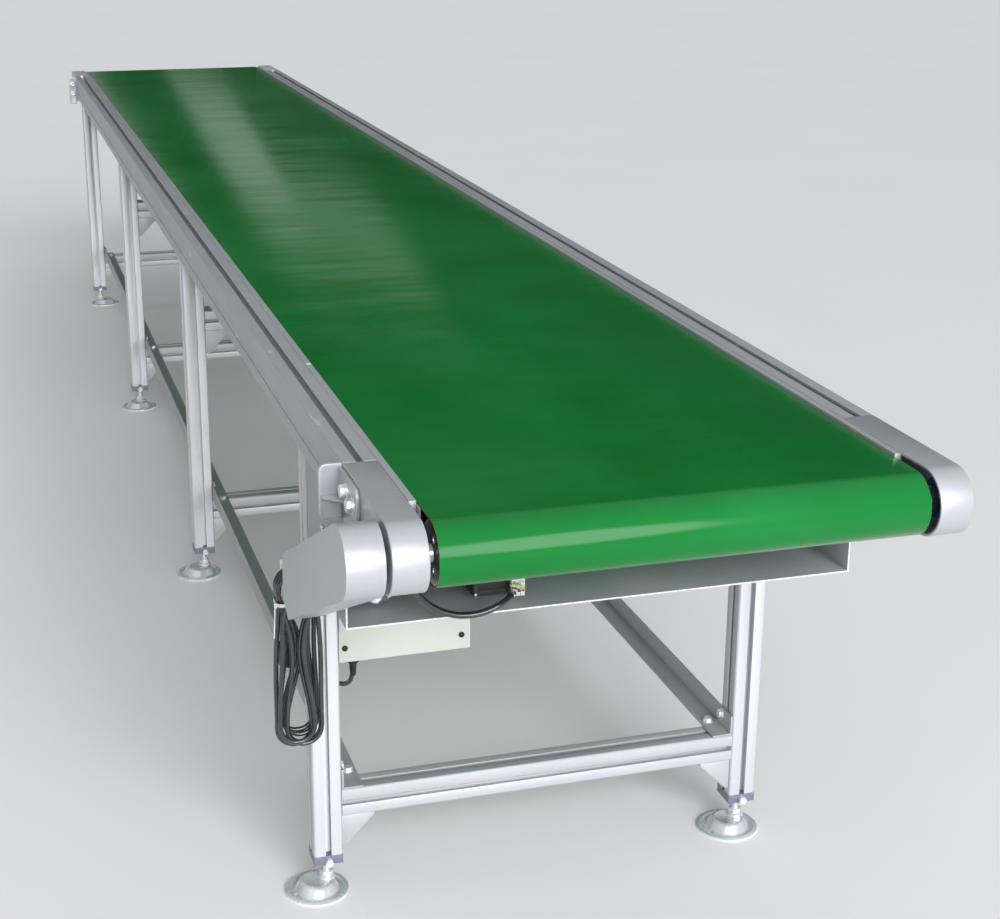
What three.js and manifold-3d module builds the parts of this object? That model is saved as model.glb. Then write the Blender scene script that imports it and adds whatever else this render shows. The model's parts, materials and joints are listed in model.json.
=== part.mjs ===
// Belt conveyor section: two slotted aluminium side rails on four pairs of profile legs, with an
// endless green belt over a slider bed, a chain-driven head drum under a cast guard, a gear motor
// in a sheet trough, and screw-adjusted levelling feet. Millimetres, +Z up, head end towards -Y.
// The model is laid out about the belt's centre line, with Y = 0 at the rails' head ends.

import * as THREE from "three";
import { mergeVertices } from "three/addons/utils/BufferGeometryUtils.js";
import Module from "manifold-3d";

const wasm = await Module();
wasm.setup();

// ---- Driving dimensions ---------------------------------------------------------------------

const overallWidth = 660;        // outside to outside of the side rails
const railTop = 710;             // top of the side rails above the floor
const railLength = 3970;
const legPairs = 4;
const firstLeg = 246;            // front face of the first leg pair behind the rails' head ends
const lastLegGap = 141;          // back face of the last leg pair to the rails' tail ends
const lowerMemberHeight = 116;   // underside of the lower cross members above the floor
const upperMemberDrop = 104;     // top of the upper cross members below the rails

const touch = 0.3;               // gap between pieces that rest on each other
const slack = 0.3;               // radial gap around turning shafts
const past = 1;                  // how far cuts run past a face, and joined pieces into each other

const profile = 40;              // square frame profile, which also sets the rails' width
const railSkirt = 26;            // rails' height beyond the profile's
const railChamber = { wall: 5, below: 17, above: 18 };
const sideBand = { top: 8, height: 40, depth: 1.5 };
const profileCorner = 2;
const slot = { mouth: 8, lip: 4.5, room: 20, shoulder: 7.5, floor: 9, depth: 12 };
const legInset = 3;              // leg's outer face behind the rail's outer face
const legFoot = 45;              // underside of a leg's end block
const endBlock = 13;

const beltThickness = 2;
const beltBelowRail = 3;
const beltSideGap = 1.2;         // belt's edge to the edge strip
const drumRadius = 34.7;         // turned drum, just inside the belt
const drumGap = 0.3;
const drumWall = 5;
const drumDisc = 6;              // end discs of a drum
const drumVent = { count: 3, radius: 4, place: 20 };
const drumOverhang = 191;        // drum axis past the rail's head end
const tailOverhang = 150;        // drum axis past the rail's tail end
const shaftRadius = 10;
const shaftHole = 4;             // radial gap where a shaft goes through sheet or a casting
const shaftEndGap = 2;           // shaft's end short of the bracket's wall
const drumSide = 1;              // belt edge past the drum's end

const stripWidth = 8.5;
const stripHeight = 20;
const stripStart = -140;
const stripTailGap = 20;
const bedSheet = 2;
const bedHeadGap = 6;            // bed's end short of the belt's inner turn
const bedTailGap = 9;
const stretcherTop = 20;         // stretcher's top below the rail's top

const noseCover = 3;             // bracket's round nose outside the belt's
const bracketWall = 3;
const bearingRadius = 26;
const bearingWidth = 20;
const takeUpHalf = 24;           // half the height and length of a take-up bearing block

const rollerRadius = 20;
const rollerShaft = 6;
const rollerPast = 5;            // roller's end past the belt's edge
const rollerShaftReach = 15;     // shaft's end past the rail's inner face
const rollerGap = 15;            // roller's face behind the back face of a middle leg pair

const chainPitch = 9.525;
const drivenTeeth = 18;
const motorTeeth = 14;
const chainLinks = 84;
const chainSlope = 26.3;         // fall of the chain run, in degrees
const chainHalfHeight = 4;
const chainWidth = 10;
const sprocketWidth = 7;
const sprocketBack = 2;          // sprockets' plane outside the middle of the guard
const sprocketShaft = 10;        // drum shaft's end past the sprockets' plane
const tooth = { depth: 2.4, root: 0.3, tip: 0.12 };   // widths are shares of a tooth's step
const guardWall = 2;
const guardDepth = 41.5;
const guardGap = 6;              // guard's open side to the rail's outer face
const guardRear = 37.7;          // guard's flat end behind the motor sprocket's axis
const guardChamfer = 30;
const backPlate = { thick: 2, inset: 3 };
const spacerRadius = 6;
const railSpacers = [[71, 15], [116, 30]];   // spacers behind and below the head drum's axis
const troughSpacer = [50, 38];               // spacer before and above the motor sprocket's axis

const troughSheet = 2;
const troughInset = 5;           // trough's wall inside the rail's outer face
const gearboxRise = 6;           // gearbox above the trough's floor
const troughStart = 20;
const troughEnd = 240;
const troughFlange = 25;
const gearboxSize = 84;
const gearboxLength = 60;
const shaftOffset = [-12.7, -19.5];   // output shaft from the gearbox's centre, along Y and Z
const gearboxBoss = { radius: 18, reach: 4, hole: 19 };
const motorRadius = 42;
const motorLength = 160;
const motorShaft = { radius: 7.5, past: 8, inside: 18, bore: 22, core: 6.5 };
const terminalBox = { start: 101, length: 58, reach: 22, height: 35, rise: 3 };

const boxLength = 180;           // control box
const boxDepth = 60;
const boxHeight = 80;
const boxDrop = 71;              // control box's top below the trough
const boxSheet = 1.5;
const rocker = { half: 10, width: 12, inside: 4, proud: 3.5, waist: 1, sideGap: 1, endGap: 1.5 };

const braceSize = 30;
const braceSheet = 3;

const footRadius = 44;
const footOffset = 16;           // pad centre off the screw's axis
const footPad = { edge: 4, rim: 3, rimTop: 6, wall: 9, wallTop: 14, crown: 14, height: 16 };
const footNut = { radius: 10, height: 10 };
const footStem = 6;
const stemClearance = 0.8;
const stemInLeg = 37;            // screw's reach above the leg's underside
const footTurns = [200, 215, 250, 320, 205, 160, 190, 215];  // way the pad points, in degrees

const mainsDiameter = 6.5;
const motorCableDiameter = 8;
const hankWidth = 66;
const hankThickness = 30;
const hankDrop = 238;            // hank's lowest point below its peg
const hankFront = 60;            // hank's front face before the first leg
const hankCrown = { above: 18.5, radius: 30 };
const hankShoulder = 130;        // where the hank reaches its full width, above its lowest point
const hookPeg = { radius: 5, gap: 1, past: 14, tip: 16 };
const hookPlate = { half: 12, thick: 4 };
const hookDrop = 154;            // peg below the rail
const plugDrop = 90;             // plug's top below the peg
const plugBehind = 22;           // plug's axis behind the hank
const plugAside = 2;             // plug's axis outside the peg's
const plugBody = { radius: 17, bottom: 42, top: 14 };   // heights are below the plug's top
const plugNeck = { radius: 8, bottom: 16 };
const plugPin = { radius: 2.4, bottom: 62, top: 40, apart: 19 };
const hookOut = 20;              // peg outside the rail's outer face

// ---- Derived places -------------------------------------------------------------------------

const railWidth = profile;
const railHeight = profile + railSkirt;
const railOut = overallWidth / 2;
const railIn = railOut - railWidth;
const railBottom = railTop - railHeight;
const beltWidth = 2 * (railIn - touch - stripWidth - beltSideGap);
const legOut = railOut - legInset;
const legIn = legOut - profile;
const legPitch = (railLength - firstLeg - lastLegGap - profile) / (legPairs - 1);
const legFronts = Array.from({ length: legPairs }, (_, i) => firstLeg + i * legPitch);
const innerRadius = drumRadius + drumGap;
const beltRadius = innerRadius + beltThickness;
const drumZ = railTop - beltBelowRail - beltRadius;
const noseRadius = beltRadius + noseCover;
const headY = -drumOverhang;
const tailY = railLength + tailOverhang;
const slopeCos = Math.cos(THREE.MathUtils.degToRad(chainSlope));
const slopeSin = Math.sin(THREE.MathUtils.degToRad(chainSlope));
const drivenPitchRadius = chainPitch / 2 / Math.sin(Math.PI / drivenTeeth);
const motorPitchRadius = chainPitch / 2 / Math.sin(Math.PI / motorTeeth);
const chainCentres = (chainLinks - (drivenTeeth + motorTeeth) / 2) / 2 * chainPitch;
const shaftY = headY + chainCentres * slopeCos;
const shaftZ = drumZ - chainCentres * slopeSin;
const guardOpen = -railOut - guardGap;
const guardFace = guardOpen - guardDepth;
const sprocketX = (guardFace + guardOpen) / 2 - sprocketBack;
const troughOut = railOut - troughInset;
const gearY = shaftY - shaftOffset[0];
const gearZ = shaftZ - shaftOffset[1];
const gearX = -troughOut + troughSheet + touch;
const motorX = gearX + gearboxLength + touch;
const gearHalf = gearboxSize / 2;
const troughFloor = gearZ - gearHalf - gearboxRise - troughSheet;
const boxX = -legIn + touch;
const boxTop = troughFloor - boxDrop;
const boxBottom = boxTop - boxHeight;
const hookX = -railOut - hookOut;
const hookHeight = railBottom - hookDrop;
const hankNear = firstLeg - hankFront;
const profileBore = footStem + stemClearance;

// ---- Finishes -------------------------------------------------------------------------------

const finish = (color, roughness, metalness) =>
  new THREE.MeshStandardMaterial({ color, roughness, metalness });
const anodised = finish(0xc3c8cf, 0.42, 0.75);
const castPaint = finish(0xb3b7bd, 0.5, 0.35);
const sheetPaint = finish(0x8d9096, 0.45, 0.3);
const palePaint = finish(0xc9cfc6, 0.5, 0.1);
const zinc = finish(0xb9c3c6, 0.3, 0.9);
const steel = finish(0x9a9da1, 0.32, 0.95);
const beltGreen = finish(0x157a3c, 0.25, 0.0);
const blackPlastic = finish(0x15161a, 0.45, 0.0);
const blackPaint = finish(0x1b1c20, 0.5, 0.2);
const cableBlack = finish(0x101218, 0.3, 0.0);

// ---- Solids ---------------------------------------------------------------------------------

const solid = (geometry) => {
  const bare = geometry.clone();
  bare.deleteAttribute("normal");
  bare.deleteAttribute("uv");
  const merged = mergeVertices(bare, 1e-4);
  const mesh = new wasm.Mesh({
    numProp: 3,
    vertProperties: new Float32Array(merged.attributes.position.array),
    triVerts: new Uint32Array(merged.index.array),
  });
  return new wasm.Manifold(mesh);
};

const fromSolid = (body) => {
  const mesh = body.getMesh();
  const geometry = new THREE.BufferGeometry();
  geometry.setAttribute("position", new THREE.BufferAttribute(mesh.vertProperties, 3));
  geometry.setIndex(new THREE.BufferAttribute(mesh.triVerts, 1));
  geometry.computeVertexNormals();
  return geometry;
};

const join = (...pieces) => fromSolid(pieces.map(solid).reduce((a, b) => a.add(b)));
const cut = (base, ...tools) => {
  const body = tools.map(solid).reduce((a, b) => a.subtract(b), solid(base));
  return fromSolid(body);
};

const block = (x0, x1, y0, y1, z0, z1) => {
  const geometry = new THREE.BoxGeometry(x1 - x0, y1 - y0, z1 - z0);
  return geometry.translate((x0 + x1) / 2, (y0 + y1) / 2, (z0 + z1) / 2);
};

// Extrusions of a shape along one axis: the shape's two directions are the other two, in order.
const alongZ = (shape, z0, z1, curveSegments = 8) => {
  const options = { depth: z1 - z0, bevelEnabled: false, curveSegments };
  return new THREE.ExtrudeGeometry(shape, options).translate(0, 0, z0);
};
const alongY = (shape, y0, y1, curveSegments = 8) =>
  alongZ(shape, 0, y1 - y0, curveSegments).rotateX(Math.PI / 2).translate(0, y1, 0);
const alongX = (shape, x0, x1, curveSegments = 8) => {
  const turn = new THREE.Matrix4().makeBasis(
    new THREE.Vector3(0, 1, 0), new THREE.Vector3(0, 0, 1), new THREE.Vector3(1, 0, 0));
  return alongZ(shape, 0, x1 - x0, curveSegments).applyMatrix4(turn).translate(x0, 0, 0);
};

const rodX = (radius, x0, x1, y, z, sides = 24) => {
  const geometry = new THREE.CylinderGeometry(radius, radius, x1 - x0, sides);
  return geometry.rotateZ(Math.PI / 2).translate((x0 + x1) / 2, y, z);
};
const rodY = (radius, y0, y1, x, z, sides = 16) => {
  const geometry = new THREE.CylinderGeometry(radius, radius, y1 - y0, sides);
  return geometry.translate(x, (y0 + y1) / 2, z);
};
const rodZ = (radius, z0, z1, x, y, sides = 16) => {
  const geometry = new THREE.CylinderGeometry(radius, radius, z1 - z0, sides);
  return geometry.rotateX(Math.PI / 2).translate(x, y, (z0 + z1) / 2);
};

const polygon = (points) => new THREE.Shape(points.map(([u, v]) => new THREE.Vector2(u, v)));
const circle = (u, v, radius) => new THREE.Shape().absarc(u, v, radius, 0, 2 * Math.PI);

// ---- Model ----------------------------------------------------------------------------------

const group = new THREE.Group();
const add = (name, geometry, material) => {
  const mesh = new THREE.Mesh(geometry, material);
  mesh.name = name;
  group.add(mesh);
};
const sides = [["left", -1], ["right", 1]];

// ---- Slotted frame profile ------------------------------------------------------------------

// One T-slot, traced from its left lip to its right lip, in a face that looks up.
const slotTrace = [
  [-slot.mouth / 2, 0],
  [-slot.mouth / 2, -slot.lip],
  [-slot.room / 2, -slot.lip],
  [-slot.room / 2, -slot.shoulder],
  [-slot.floor / 2, -slot.depth],
  [slot.floor / 2, -slot.depth],
  [slot.room / 2, -slot.shoulder],
  [slot.room / 2, -slot.lip],
  [slot.mouth / 2, -slot.lip],
  [slot.mouth / 2, 0],
];

const profileShape = (centreU, centreV) => {
  const half = profile / 2;
  const points = [];
  for (let face = 0; face < 4; face += 1) {
    const angle = -face * Math.PI / 2;
    const c = Math.cos(angle);
    const s = Math.sin(angle);
    const face0 = [[-half + profileCorner, half]];
    slotTrace.forEach(([u, v]) => face0.push([u, half + v]));
    face0.push([half - profileCorner, half]);
    face0.forEach(([u, v]) => points.push([centreU + u * c - v * s, centreV + u * s + v * c]));
  }
  const shape = polygon(points);
  shape.holes.push(new THREE.Path().absarc(centreU, centreV, profileBore, 0, 2 * Math.PI));
  return shape;
};

// ---- Side rails and edge strips -------------------------------------------------------------

const railShape = (side) => {
  const half = railWidth / 2;
  const centre = railOut - half;
  const bandTop = railTop - sideBand.top;
  const bandBottom = bandTop - sideBand.height;
  const points = [[centre - half, railTop]];
  slotTrace.forEach(([u, v]) => points.push([centre + u, railTop + v]));
  points.push([railOut, railTop], [railOut, bandTop]);
  points.push([railOut - sideBand.depth, bandTop], [railOut - sideBand.depth, bandBottom]);
  points.push([railOut, bandBottom], [railOut, railBottom]);
  [...slotTrace].reverse().forEach(([u, v]) => points.push([centre + u, railBottom - v]));
  points.push([centre - half, railBottom]);
  const shape = polygon(points.map(([u, v]) => [side * u, v]));
  const low = railBottom + railChamber.below;
  const high = railTop - railChamber.above;
  const near = side * (railIn + railChamber.wall);
  const far = side * (railOut - railChamber.wall);
  shape.holes.push(polygon([[near, low], [far, low], [far, high], [near, high]]));
  return shape;
};

sides.forEach(([name, side]) => {
  add(`side_rail_${name}`, alongY(railShape(side), 0, railLength), anodised);
  const inner = side * (railIn - touch - stripWidth);
  const outer = side * (railIn - touch);
  const strip = block(Math.min(inner, outer), Math.max(inner, outer), stripStart,
    tailY - stripTailGap, railTop - stripHeight, railTop - touch);
  add(`edge_strip_${name}`, strip, anodised);
});

// ---- Legs, cross members and braces ---------------------------------------------------------

const legSolid = (x, y) => {
  const tube = alongZ(profileShape(x, y), legFoot + endBlock - past, railBottom - touch, 6);
  const half = profile / 2;
  const end = block(x - half, x + half, y - half, y + half, legFoot, legFoot + endBlock);
  return cut(join(tube, end), rodZ(profileBore, legFoot - past, legFoot + endBlock + past, x, y, 12));
};

sides.forEach(([name, side]) => {
  legFronts.forEach((front, i) => {
    const x = side * (legIn + profile / 2);
    add(`leg_${name}_${i + 1}`, legSolid(x, front + profile / 2), anodised);
  });
});

const memberAt = (front, bottom, end) =>
  alongX(profileShape(front + profile / 2, bottom + profile / 2), -end, end, 6);

legFronts.forEach((front, i) => {
  add(`lower_cross_member_${i + 1}`, memberAt(front, lowerMemberHeight, legIn - touch), anodised);
});
const middlePairs = legFronts.slice(1, -1);
const upperMemberHeight = railBottom - upperMemberDrop - profile;
middlePairs.forEach((front, i) => {
  add(`upper_cross_member_${i + 2}`, memberAt(front, upperMemberHeight, legIn - touch), anodised);
});

const braceBottom = lowerMemberHeight + profile + touch;
sides.forEach(([name, side]) => {
  const out = legIn - touch;
  const angle = polygon([
    [side * out, braceBottom],
    [side * out, braceBottom + braceSize],
    [side * (out - braceSheet), braceBottom + braceSize],
    [side * (out - braceSheet), braceBottom + braceSheet],
    [side * (out - braceSize), braceBottom + braceSheet],
    [side * (out - braceSize), braceBottom],
  ]);
  const last = legFronts[legPairs - 1] + profile;
  add(`long_brace_${name}`, alongY(angle, firstLeg, last), anodised);
});

// ---- Levelling feet -------------------------------------------------------------------------

const padProfile = [
  [0, 0],
  [footRadius, 0],
  [footRadius, footPad.edge],
  [footRadius - footPad.rim, footPad.rimTop],
  [footRadius - footPad.wall, footPad.wallTop],
  [footRadius - footPad.crown, footPad.height],
  [0, footPad.height],
];

const footSolid = (x, y, turn) => {
  const angle = THREE.MathUtils.degToRad(turn);
  const pad = new THREE.LatheGeometry(padProfile.map(([r, z]) => new THREE.Vector2(r, z)), 20);
  pad.rotateX(Math.PI / 2);
  pad.translate(x + footOffset * Math.cos(angle), y + footOffset * Math.sin(angle), 0);
  const padTop = footPad.height;
  const nut = rodZ(footNut.radius, padTop - past, padTop + footNut.height, x, y, 6);
  const stem = rodZ(footStem, padTop - past, legFoot + stemInLeg, x, y, 12);
  return join(pad, nut, stem);
};

sides.forEach(([name, side], s) => {
  legFronts.forEach((front, i) => {
    const turn = footTurns[(s * legPairs + i) % footTurns.length];
    const x = side * (legIn + profile / 2);
    add(`levelling_foot_${name}_${i + 1}`, footSolid(x, front + profile / 2, turn), zinc);
  });
});

// ---- Slider bed and stretchers --------------------------------------------------------------

const bedTop = drumZ + innerRadius - touch;
const bedHalf = railIn - touch - stripWidth - touch;
const stretcherZ = railTop - stretcherTop;
const bedShape = polygon([
  [-bedHalf, stretcherZ + touch], [-bedHalf, bedTop], [bedHalf, bedTop],
  [bedHalf, stretcherZ + touch], [bedHalf - bedSheet, stretcherZ + touch],
  [bedHalf - bedSheet, bedTop - bedSheet], [-bedHalf + bedSheet, bedTop - bedSheet],
  [-bedHalf + bedSheet, stretcherZ + touch],
]);
add("slider_bed", alongY(bedShape, headY + innerRadius + bedHeadGap,
  tailY - innerRadius - bedTailGap), sheetPaint);
middlePairs.forEach((front, i) => {
  const stretcher = memberAt(front, stretcherZ - profile, railIn - touch);
  add(`bed_stretcher_${i + 2}`, stretcher, anodised);
});

// ---- Belt, drums and return rollers ---------------------------------------------------------

// Outline of a loop around two circles that lie along +u, the second one smaller or equal.
const loopShape = (u1, v1, r1, u2, v2, r2) => {
  const run = Math.atan2(v2 - v1, u2 - u1);
  const lean = Math.acos((r1 - r2) / Math.hypot(u2 - u1, v2 - v1));
  const shape = new THREE.Shape();
  shape.absarc(u1, v1, r1, run + lean, run - lean + 2 * Math.PI, false);
  shape.absarc(u2, v2, r2, run - lean, run + lean, false);
  shape.closePath();
  return shape;
};

const beltShape = loopShape(headY, drumZ, beltRadius, tailY, drumZ, beltRadius);
beltShape.holes.push(loopShape(headY, drumZ, innerRadius, tailY, drumZ, innerRadius));
add("conveyor_belt", alongX(beltShape, -beltWidth / 2, beltWidth / 2, 10), beltGreen);

const drumHalf = beltWidth / 2 - drumSide;
const shaftEnd = railOut - bracketWall - shaftEndGap;
const drumSolid = (y, left) => {
  const wallRadius = drumRadius - drumWall;
  const hollow = rodX(wallRadius, -drumHalf + drumDisc, drumHalf - drumDisc, y, drumZ, 40);
  const vents = Array.from({ length: drumVent.count }, (_, i) => {
    const angle = i * 2 * Math.PI / drumVent.count;
    const ventY = y + drumVent.place * Math.cos(angle);
    const ventZ = drumZ + drumVent.place * Math.sin(angle);
    return rodX(drumVent.radius, -drumHalf - past, drumHalf + past, ventY, ventZ, 8);
  });
  const shell = cut(rodX(drumRadius, -drumHalf, drumHalf, y, drumZ, 40), hollow, ...vents);
  return join(shell, rodX(shaftRadius, left, shaftEnd, y, drumZ));
};
add("drive_drum", drumSolid(headY, sprocketX - sprocketShaft), steel);
add("tail_drum", drumSolid(tailY, -shaftEnd), steel);

const rollerZ = drumZ - beltRadius - touch - rollerRadius;
middlePairs.forEach((front, i) => {
  const y = front + profile + rollerGap + rollerRadius;
  const half = beltWidth / 2 + rollerPast;
  const shaftHalf = railIn + rollerShaftReach;
  const roller = join(
    rodX(rollerRadius, -half, half, y, rollerZ),
    rodX(rollerShaft, -shaftHalf, shaftHalf, y, rollerZ, 12));
  add(`return_roller_${i + 2}`, roller, steel);
});

// ---- End brackets and bearings --------------------------------------------------------------

// Round-nosed outline from the rail's end to past the drum; toward is -1 at the head, 1 at the tail.
const noseShape = (end, axis, toward, inset) => {
  const r = noseRadius - inset;
  const shape = new THREE.Shape();
  const start = toward < 0 ? Math.PI / 2 : -Math.PI / 2;
  shape.absarc(axis, drumZ, r, start, start + Math.PI, false);
  shape.lineTo(end, drumZ + toward * r);
  shape.lineTo(end, drumZ - toward * r);
  shape.closePath();
  return shape;
};

const bracketSolid = (side, toward, end, axis) => {
  const x0 = side < 0 ? -railOut : railIn;
  const outer = alongX(noseShape(end, axis, toward, 0), x0, x0 + railWidth, 12);
  const pocketFrom = side < 0 ? -railOut + bracketWall : railIn - past;
  const pocketTo = side < 0 ? -railIn + past : railOut - bracketWall;
  const inner = end + toward * bracketWall;
  const pocket = alongX(noseShape(inner, axis, toward, bracketWall), pocketFrom, pocketTo, 12);
  return [outer, pocket];
};

sides.forEach(([name, side]) => {
  const head = bracketSolid(side, -1, -touch, headY);
  if (side < 0) {
    head.push(
      rodX(shaftRadius + shaftHole, -railOut - past, -railOut + bracketWall + past, headY, drumZ));
  }
  add(`head_bracket_${name}`, cut(...head), castPaint);
  const tail = bracketSolid(side, 1, railLength + touch, tailY);
  add(`tail_bracket_${name}`, cut(...tail), castPaint);
});

sides.forEach(([name, side]) => {
  const wall = side * (railOut - bracketWall - touch);
  const inner = wall - side * bearingWidth;
  const x0 = Math.min(wall, inner);
  const x1 = Math.max(wall, inner);
  const bore = (y) => rodX(shaftRadius + slack, x0 - past, x1 + past, y, drumZ);
  const head = cut(rodX(bearingRadius, x0, x1, headY, drumZ, 32), bore(headY));
  add(`head_bearing_${name}`, head, steel);
  const half = takeUpHalf;
  const tail = cut(block(x0, x1, tailY - half, tailY + half, drumZ - half, drumZ + half),
    bore(tailY));
  add(`tail_bearing_block_${name}`, tail, steel);
});

// ---- Chain drive and its guard --------------------------------------------------------------

const sprocketSolid = (teeth, pitchRadius, y, z, bore) => {
  const tip = pitchRadius - chainHalfHeight - touch;
  const root = tip - tooth.depth;
  const outline = [[-tooth.root, root], [-tooth.tip, tip], [tooth.tip, tip], [tooth.root, root]];
  const points = [];
  for (let i = 0; i < teeth; i += 1) {
    outline.forEach(([part, r]) => {
      const angle = (i + part) * 2 * Math.PI / teeth;
      points.push([y + r * Math.cos(angle), z + r * Math.sin(angle)]);
    });
  }
  const half = sprocketWidth / 2;
  const disc = alongX(polygon(points), sprocketX - half, sprocketX + half);
  return cut(disc, rodX(bore, sprocketX - half - past, sprocketX + half + past, y, z));
};

add("driven_sprocket",
  sprocketSolid(drivenTeeth, drivenPitchRadius, headY, drumZ, shaftRadius + touch), steel);

const motorDisc = sprocketSolid(motorTeeth, motorPitchRadius, shaftY, shaftZ, motorShaft.core);
const outputShaft = rodX(
  motorShaft.radius, sprocketX - motorShaft.past, gearX + motorShaft.inside, shaftY, shaftZ, 20);
add("motor_sprocket", join(motorDisc, outputShaft), steel);

const chainShape = (offset) => loopShape(headY, drumZ, drivenPitchRadius + offset,
  shaftY, shaftZ, motorPitchRadius + offset);
const chainLoop = chainShape(chainHalfHeight);
chainLoop.holes.push(chainShape(-chainHalfHeight));
const chainHalf = chainWidth / 2;
add("drive_chain", alongX(chainLoop, sprocketX - chainHalf, sprocketX + chainHalf, 9), steel);

// Slanted band around the chain, round at the head and cut off square behind the motor shaft.
const guardShape = (inset) => {
  const r = noseRadius - inset;
  const rear = shaftY + guardRear - inset;
  const slope = slopeSin / slopeCos;
  const topAt = (y) => drumZ + r * slopeCos - (y - headY - r * slopeSin) * slope;
  const bottomAt = (y) => drumZ - r * slopeCos - (y - headY + r * slopeSin) * slope;
  const tangent = Math.PI / 2 - THREE.MathUtils.degToRad(chainSlope);
  const shape = new THREE.Shape();
  shape.absarc(headY, drumZ, r, tangent, tangent + Math.PI, false);
  shape.lineTo(rear - guardChamfer, bottomAt(rear - guardChamfer));
  shape.lineTo(rear, bottomAt(rear) + guardChamfer);
  shape.lineTo(rear, topAt(rear));
  shape.closePath();
  return shape;
};

const guard = cut(
  alongX(guardShape(0), guardFace, guardOpen, 12),
  alongX(guardShape(guardWall), guardFace + guardWall, guardOpen + past, 12));
add("chain_guard", guard, castPaint);

const plateX = guardOpen - backPlate.inset;
const plateOuter = plateX - backPlate.thick;
const spacer = (wall, y, z) => rodX(spacerRadius, plateX - past, wall - touch, y, z, 12);
const spacers = railSpacers.map(([behind, below]) =>
  spacer(-railOut, headY + behind, drumZ - below));
spacers.push(spacer(-troughOut, shaftY - troughSpacer[0], shaftZ + troughSpacer[1]));
const plate = join(alongX(guardShape(guardWall + touch), plateOuter, plateX, 12), ...spacers);
add("guard_back_plate", cut(plate,
  rodX(shaftRadius + shaftHole, plateOuter - past, plateX + past, headY, drumZ),
  rodX(motorShaft.radius + shaftHole, plateOuter - past, plateX + past, shaftY, shaftZ)),
sheetPaint);

// ---- Head trough, gearbox and motor ---------------------------------------------------------

const wallTop = railBottom - touch;
const troughShape = polygon([
  [-troughOut, troughFloor], [troughOut, troughFloor], [troughOut, wallTop],
  [troughOut - troughFlange, wallTop], [troughOut - troughFlange, wallTop - troughSheet],
  [troughOut - troughSheet, wallTop - troughSheet],
  [troughOut - troughSheet, troughFloor + troughSheet],
  [-troughOut + troughSheet, troughFloor + troughSheet],
  [-troughOut + troughSheet, wallTop - troughSheet],
  [-troughOut + troughFlange, wallTop - troughSheet], [-troughOut + troughFlange, wallTop],
  [-troughOut, wallTop],
]);
const bossHole = rodX(
  gearboxBoss.hole, -troughOut - past, -troughOut + troughSheet + past, shaftY, shaftZ);
add("head_trough", cut(alongY(troughShape, troughStart, troughEnd), bossHole), sheetPaint);

const gearCase = join(
  block(gearX, gearX + gearboxLength, gearY - gearHalf, gearY + gearHalf,
    gearZ - gearHalf, gearZ + gearHalf),
  rodX(gearboxBoss.radius, gearX - gearboxBoss.reach, gearX + past, shaftY, shaftZ));
const outputBore = rodX(motorShaft.radius + slack,
  gearX - gearboxBoss.reach - past, gearX + motorShaft.bore, shaftY, shaftZ, 20);
add("gearbox", cut(gearCase, outputBore), castPaint);

const terminalX = motorX + terminalBox.start;
const terminalZ = gearZ - motorRadius + terminalBox.rise;
add("gear_motor", join(
  rodX(motorRadius, motorX, motorX + motorLength, gearY, gearZ, 28),
  block(terminalX, terminalX + terminalBox.length, gearY - motorRadius - terminalBox.reach,
    gearY, terminalZ, terminalZ + terminalBox.height)), blackPaint);

// ---- Control box and switch -----------------------------------------------------------------

const boxFront = firstLeg;
const boxEnd = boxX + boxLength;
const switchY = boxFront + boxDepth / 2;
const switchZ = boxBottom + boxHeight / 2;
const rockerSide = rocker.width / 2;
const windowSide = rockerSide + rocker.sideGap;
const windowHalf = rocker.half + rocker.endGap;
const boxBody = cut(
  block(boxX, boxEnd, boxFront, boxFront + boxDepth, boxBottom, boxTop),
  block(boxX + boxSheet, boxEnd - boxSheet, boxFront + boxSheet, boxFront + boxDepth + past,
    boxBottom + boxSheet, boxTop - boxSheet),
  block(boxEnd - boxSheet - past, boxEnd + past, switchY - windowSide, switchY + windowSide,
    switchZ - windowHalf, switchZ + windowHalf));
add("control_box", boxBody, palePaint);

const rockerShape = polygon([
  [boxEnd - rocker.inside, switchZ - rocker.half],
  [boxEnd + rocker.proud, switchZ - rocker.half],
  [boxEnd + rocker.waist, switchZ],
  [boxEnd + rocker.proud, switchZ + rocker.half],
  [boxEnd - rocker.inside, switchZ + rocker.half],
]);
const rockerSolid = alongY(rockerShape, switchY - rockerSide, switchY + rockerSide);
add("power_switch", rockerSolid, blackPlastic);

// ---- Cables ---------------------------------------------------------------------------------

const cableSolid = (points, diameter, steps) => {
  const path = new THREE.CatmullRomCurve3(points.map((p) => new THREE.Vector3(...p)));
  const section = polygon(Array.from({ length: 8 }, (_, i) => {
    const angle = (i + 0.5) * Math.PI / 4;
    return [diameter / 2 * Math.cos(angle), diameter / 2 * Math.sin(angle)];
  }));
  return new THREE.ExtrudeGeometry(section, { steps, extrudePath: path, bevelEnabled: false });
};

// From the motor's terminal box, down in a loop before the trough, up beside its left wall, over
// the gearbox and down behind the trough to the control box.
const motorCableRoute = [
  [-122, 47.2, 522], [-122, 36, 520], [-124, 20, 520], [-130, 4, 522], [-143, -6, 519],
  [-162, -9, 513], [-183, -9, 510.5], [-205, -9, 514], [-230, -8, 527], [-249, -7, 546],
  [-268, -4, 568], [-288, 5, 588], [-303, 22, 601], [-311, 48, 607], [-313, 80, 608],
  [-313, 120, 608], [-312, 160, 608], [-307, 195, 606], [-293, 225, 598], [-274, 250, 580],
  [-262, 268, 552], [-258, 275, 515], [-257, 276, 475], [-257, 276, 445], [-257, 276, 425.5],
];
add("motor_cable", cableSolid(motorCableRoute, motorCableDiameter, 72), cableBlack);

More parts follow.
